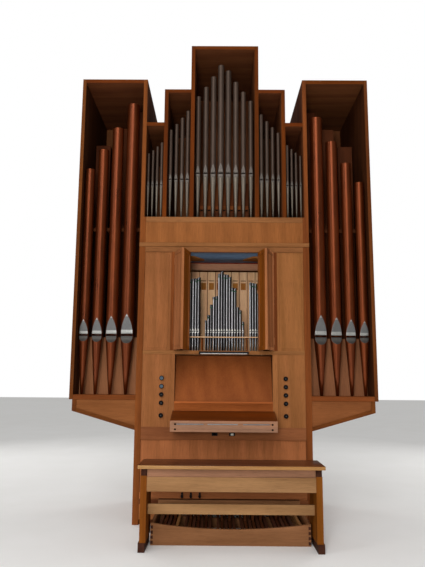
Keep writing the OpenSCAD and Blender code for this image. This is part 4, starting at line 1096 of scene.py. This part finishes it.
def small_parts():
    bm = bmesh.new()
    near, far, h = FRONT - 0.6506, FRONT - 0.6490, DOVETAIL_H
    for side in (-1, 1):
        outer = BENCH_X + side * DOVETAIL_X
        inner = outer - side * DOVETAIL_W
        for k in range(4):
            z = 0.016 + k * DOVETAIL_PITCH
            outline = [(outer, z - 0.7 * h / 2), (outer, z + h + 0.35 * h),
                       (inner, z + h + 0.7 * h), (inner, z - 0.7 * h)]
            a, b = ([bm.verts.new((x, y, height)) for x, height in outline] for y in (near, far))
            bm.faces.new(a)
            add_sides(bm, a, b)
    outward(bm)
    number_boards(bm, "dovetails")
    link("pedal_dovetails", bm, [grained("block", "y")])
    boxes("stud_plates", [((x - 0.009, x + 0.009), (-0.003, 0.0), (0.228, 0.277), 0) for x in TOE_STUD_X],
          [PLASTIC])


small_parts()


# Floor and light
FLOOR_HALF = 40
SUN_POWER, SUN_SPREAD, SUN_WAY = 0.85, 35, (0.16, 0.84, -0.52)
# Strength of the white surroundings as a light, in reflections and to the camera
WORLD_LIGHT, WORLD_SHINE, WORLD_SEEN = 0.42, 0.20, 1.0


def area(name, at, to, size, tall, power, shines=True):
    data = bpy.data.lights.new(name, "AREA")
    data.shape = "RECTANGLE"
    data.size = size
    data.size_y = tall
    data.energy = power
    obj = bpy.data.objects.new(name, data)
    bpy.context.scene.collection.objects.link(obj)
    obj.location = at
    obj.rotation_mode = "QUATERNION"
    obj.rotation_quaternion = (Vector(to) - Vector(at)).to_track_quat("-Z", "Y")
    obj.visible_glossy = shines


def surroundings():
    mesh = bpy.data.meshes.new("floor")
    s = FLOOR_HALF
    mesh.from_pydata([(-s, -s, 0), (s, -s, 0), (s, s, 0), (-s, s, 0)], [], [(0, 1, 2, 3)])
    mesh.materials.append(plain("floor_pale", (248, 247, 245), (243, 242, 239), 0.8, scale=1.6, bump=0.0))
    floor = bpy.data.objects.new("floor", mesh)
    floor.location.z = -0.0005
    bpy.context.scene.collection.objects.link(floor)
    area("strip", (-0.8, -6.9, 4.3), (0.0, -0.5, 4.1), 0.6, 8.4, 80)
    area("key", (-0.6, -6.9, 1.6), (0.0, -0.5, 1.9), 1.0, 1.0, 125, False)
    sun = bpy.data.lights.new("sky", "SUN")
    sun.energy = SUN_POWER
    sun.angle = math.radians(SUN_SPREAD)
    top = bpy.data.objects.new("sky", sun)
    bpy.context.scene.collection.objects.link(top)
    top.rotation_mode = "QUATERNION"
    top.rotation_quaternion = Vector(SUN_WAY).to_track_quat("-Z", "Y")
    area("window", (-5.2, -5.0, 4.0), (-0.3, -0.5, 3.8), 0.6, 7.5, 60)
    area("back_left", (-5.0, 4.5, 4.0), (0.0, 0.0, 2.0), 2.6, 2.6, 90)
    area("back_right", (5.0, 4.5, 4.0), (0.0, 0.0, 2.0), 2.6, 2.6, 90)
    world = bpy.data.worlds.new("world")
    bpy.context.scene.world = world
    world.use_nodes = True
    t = world.node_tree
    t.nodes.clear()
    out = t.nodes.new("ShaderNodeOutputWorld")
    path = t.nodes.new("ShaderNodeLightPath")
    shades = []
    for strength in (WORLD_LIGHT, WORLD_SHINE, WORLD_SEEN):
        n = t.nodes.new("ShaderNodeBackground")
        n.inputs[0].default_value = (1, 1, 1, 1)
        n.inputs[1].default_value = strength
        shades.append(n.outputs[0])
    result = shades[0]
    for test, shade in (("Is Glossy Ray", shades[1]), ("Is Camera Ray", shades[2])):
        mix = t.nodes.new("ShaderNodeMixShader")
        t.links.new(path.outputs[test], mix.inputs[0])
        t.links.new(result, mix.inputs[1])
        t.links.new(shade, mix.inputs[2])
        result = mix.outputs[0]
    t.links.new(result, out.inputs[0])


surroundings()
bpy.context.scene.view_settings.view_transform = "Standard"
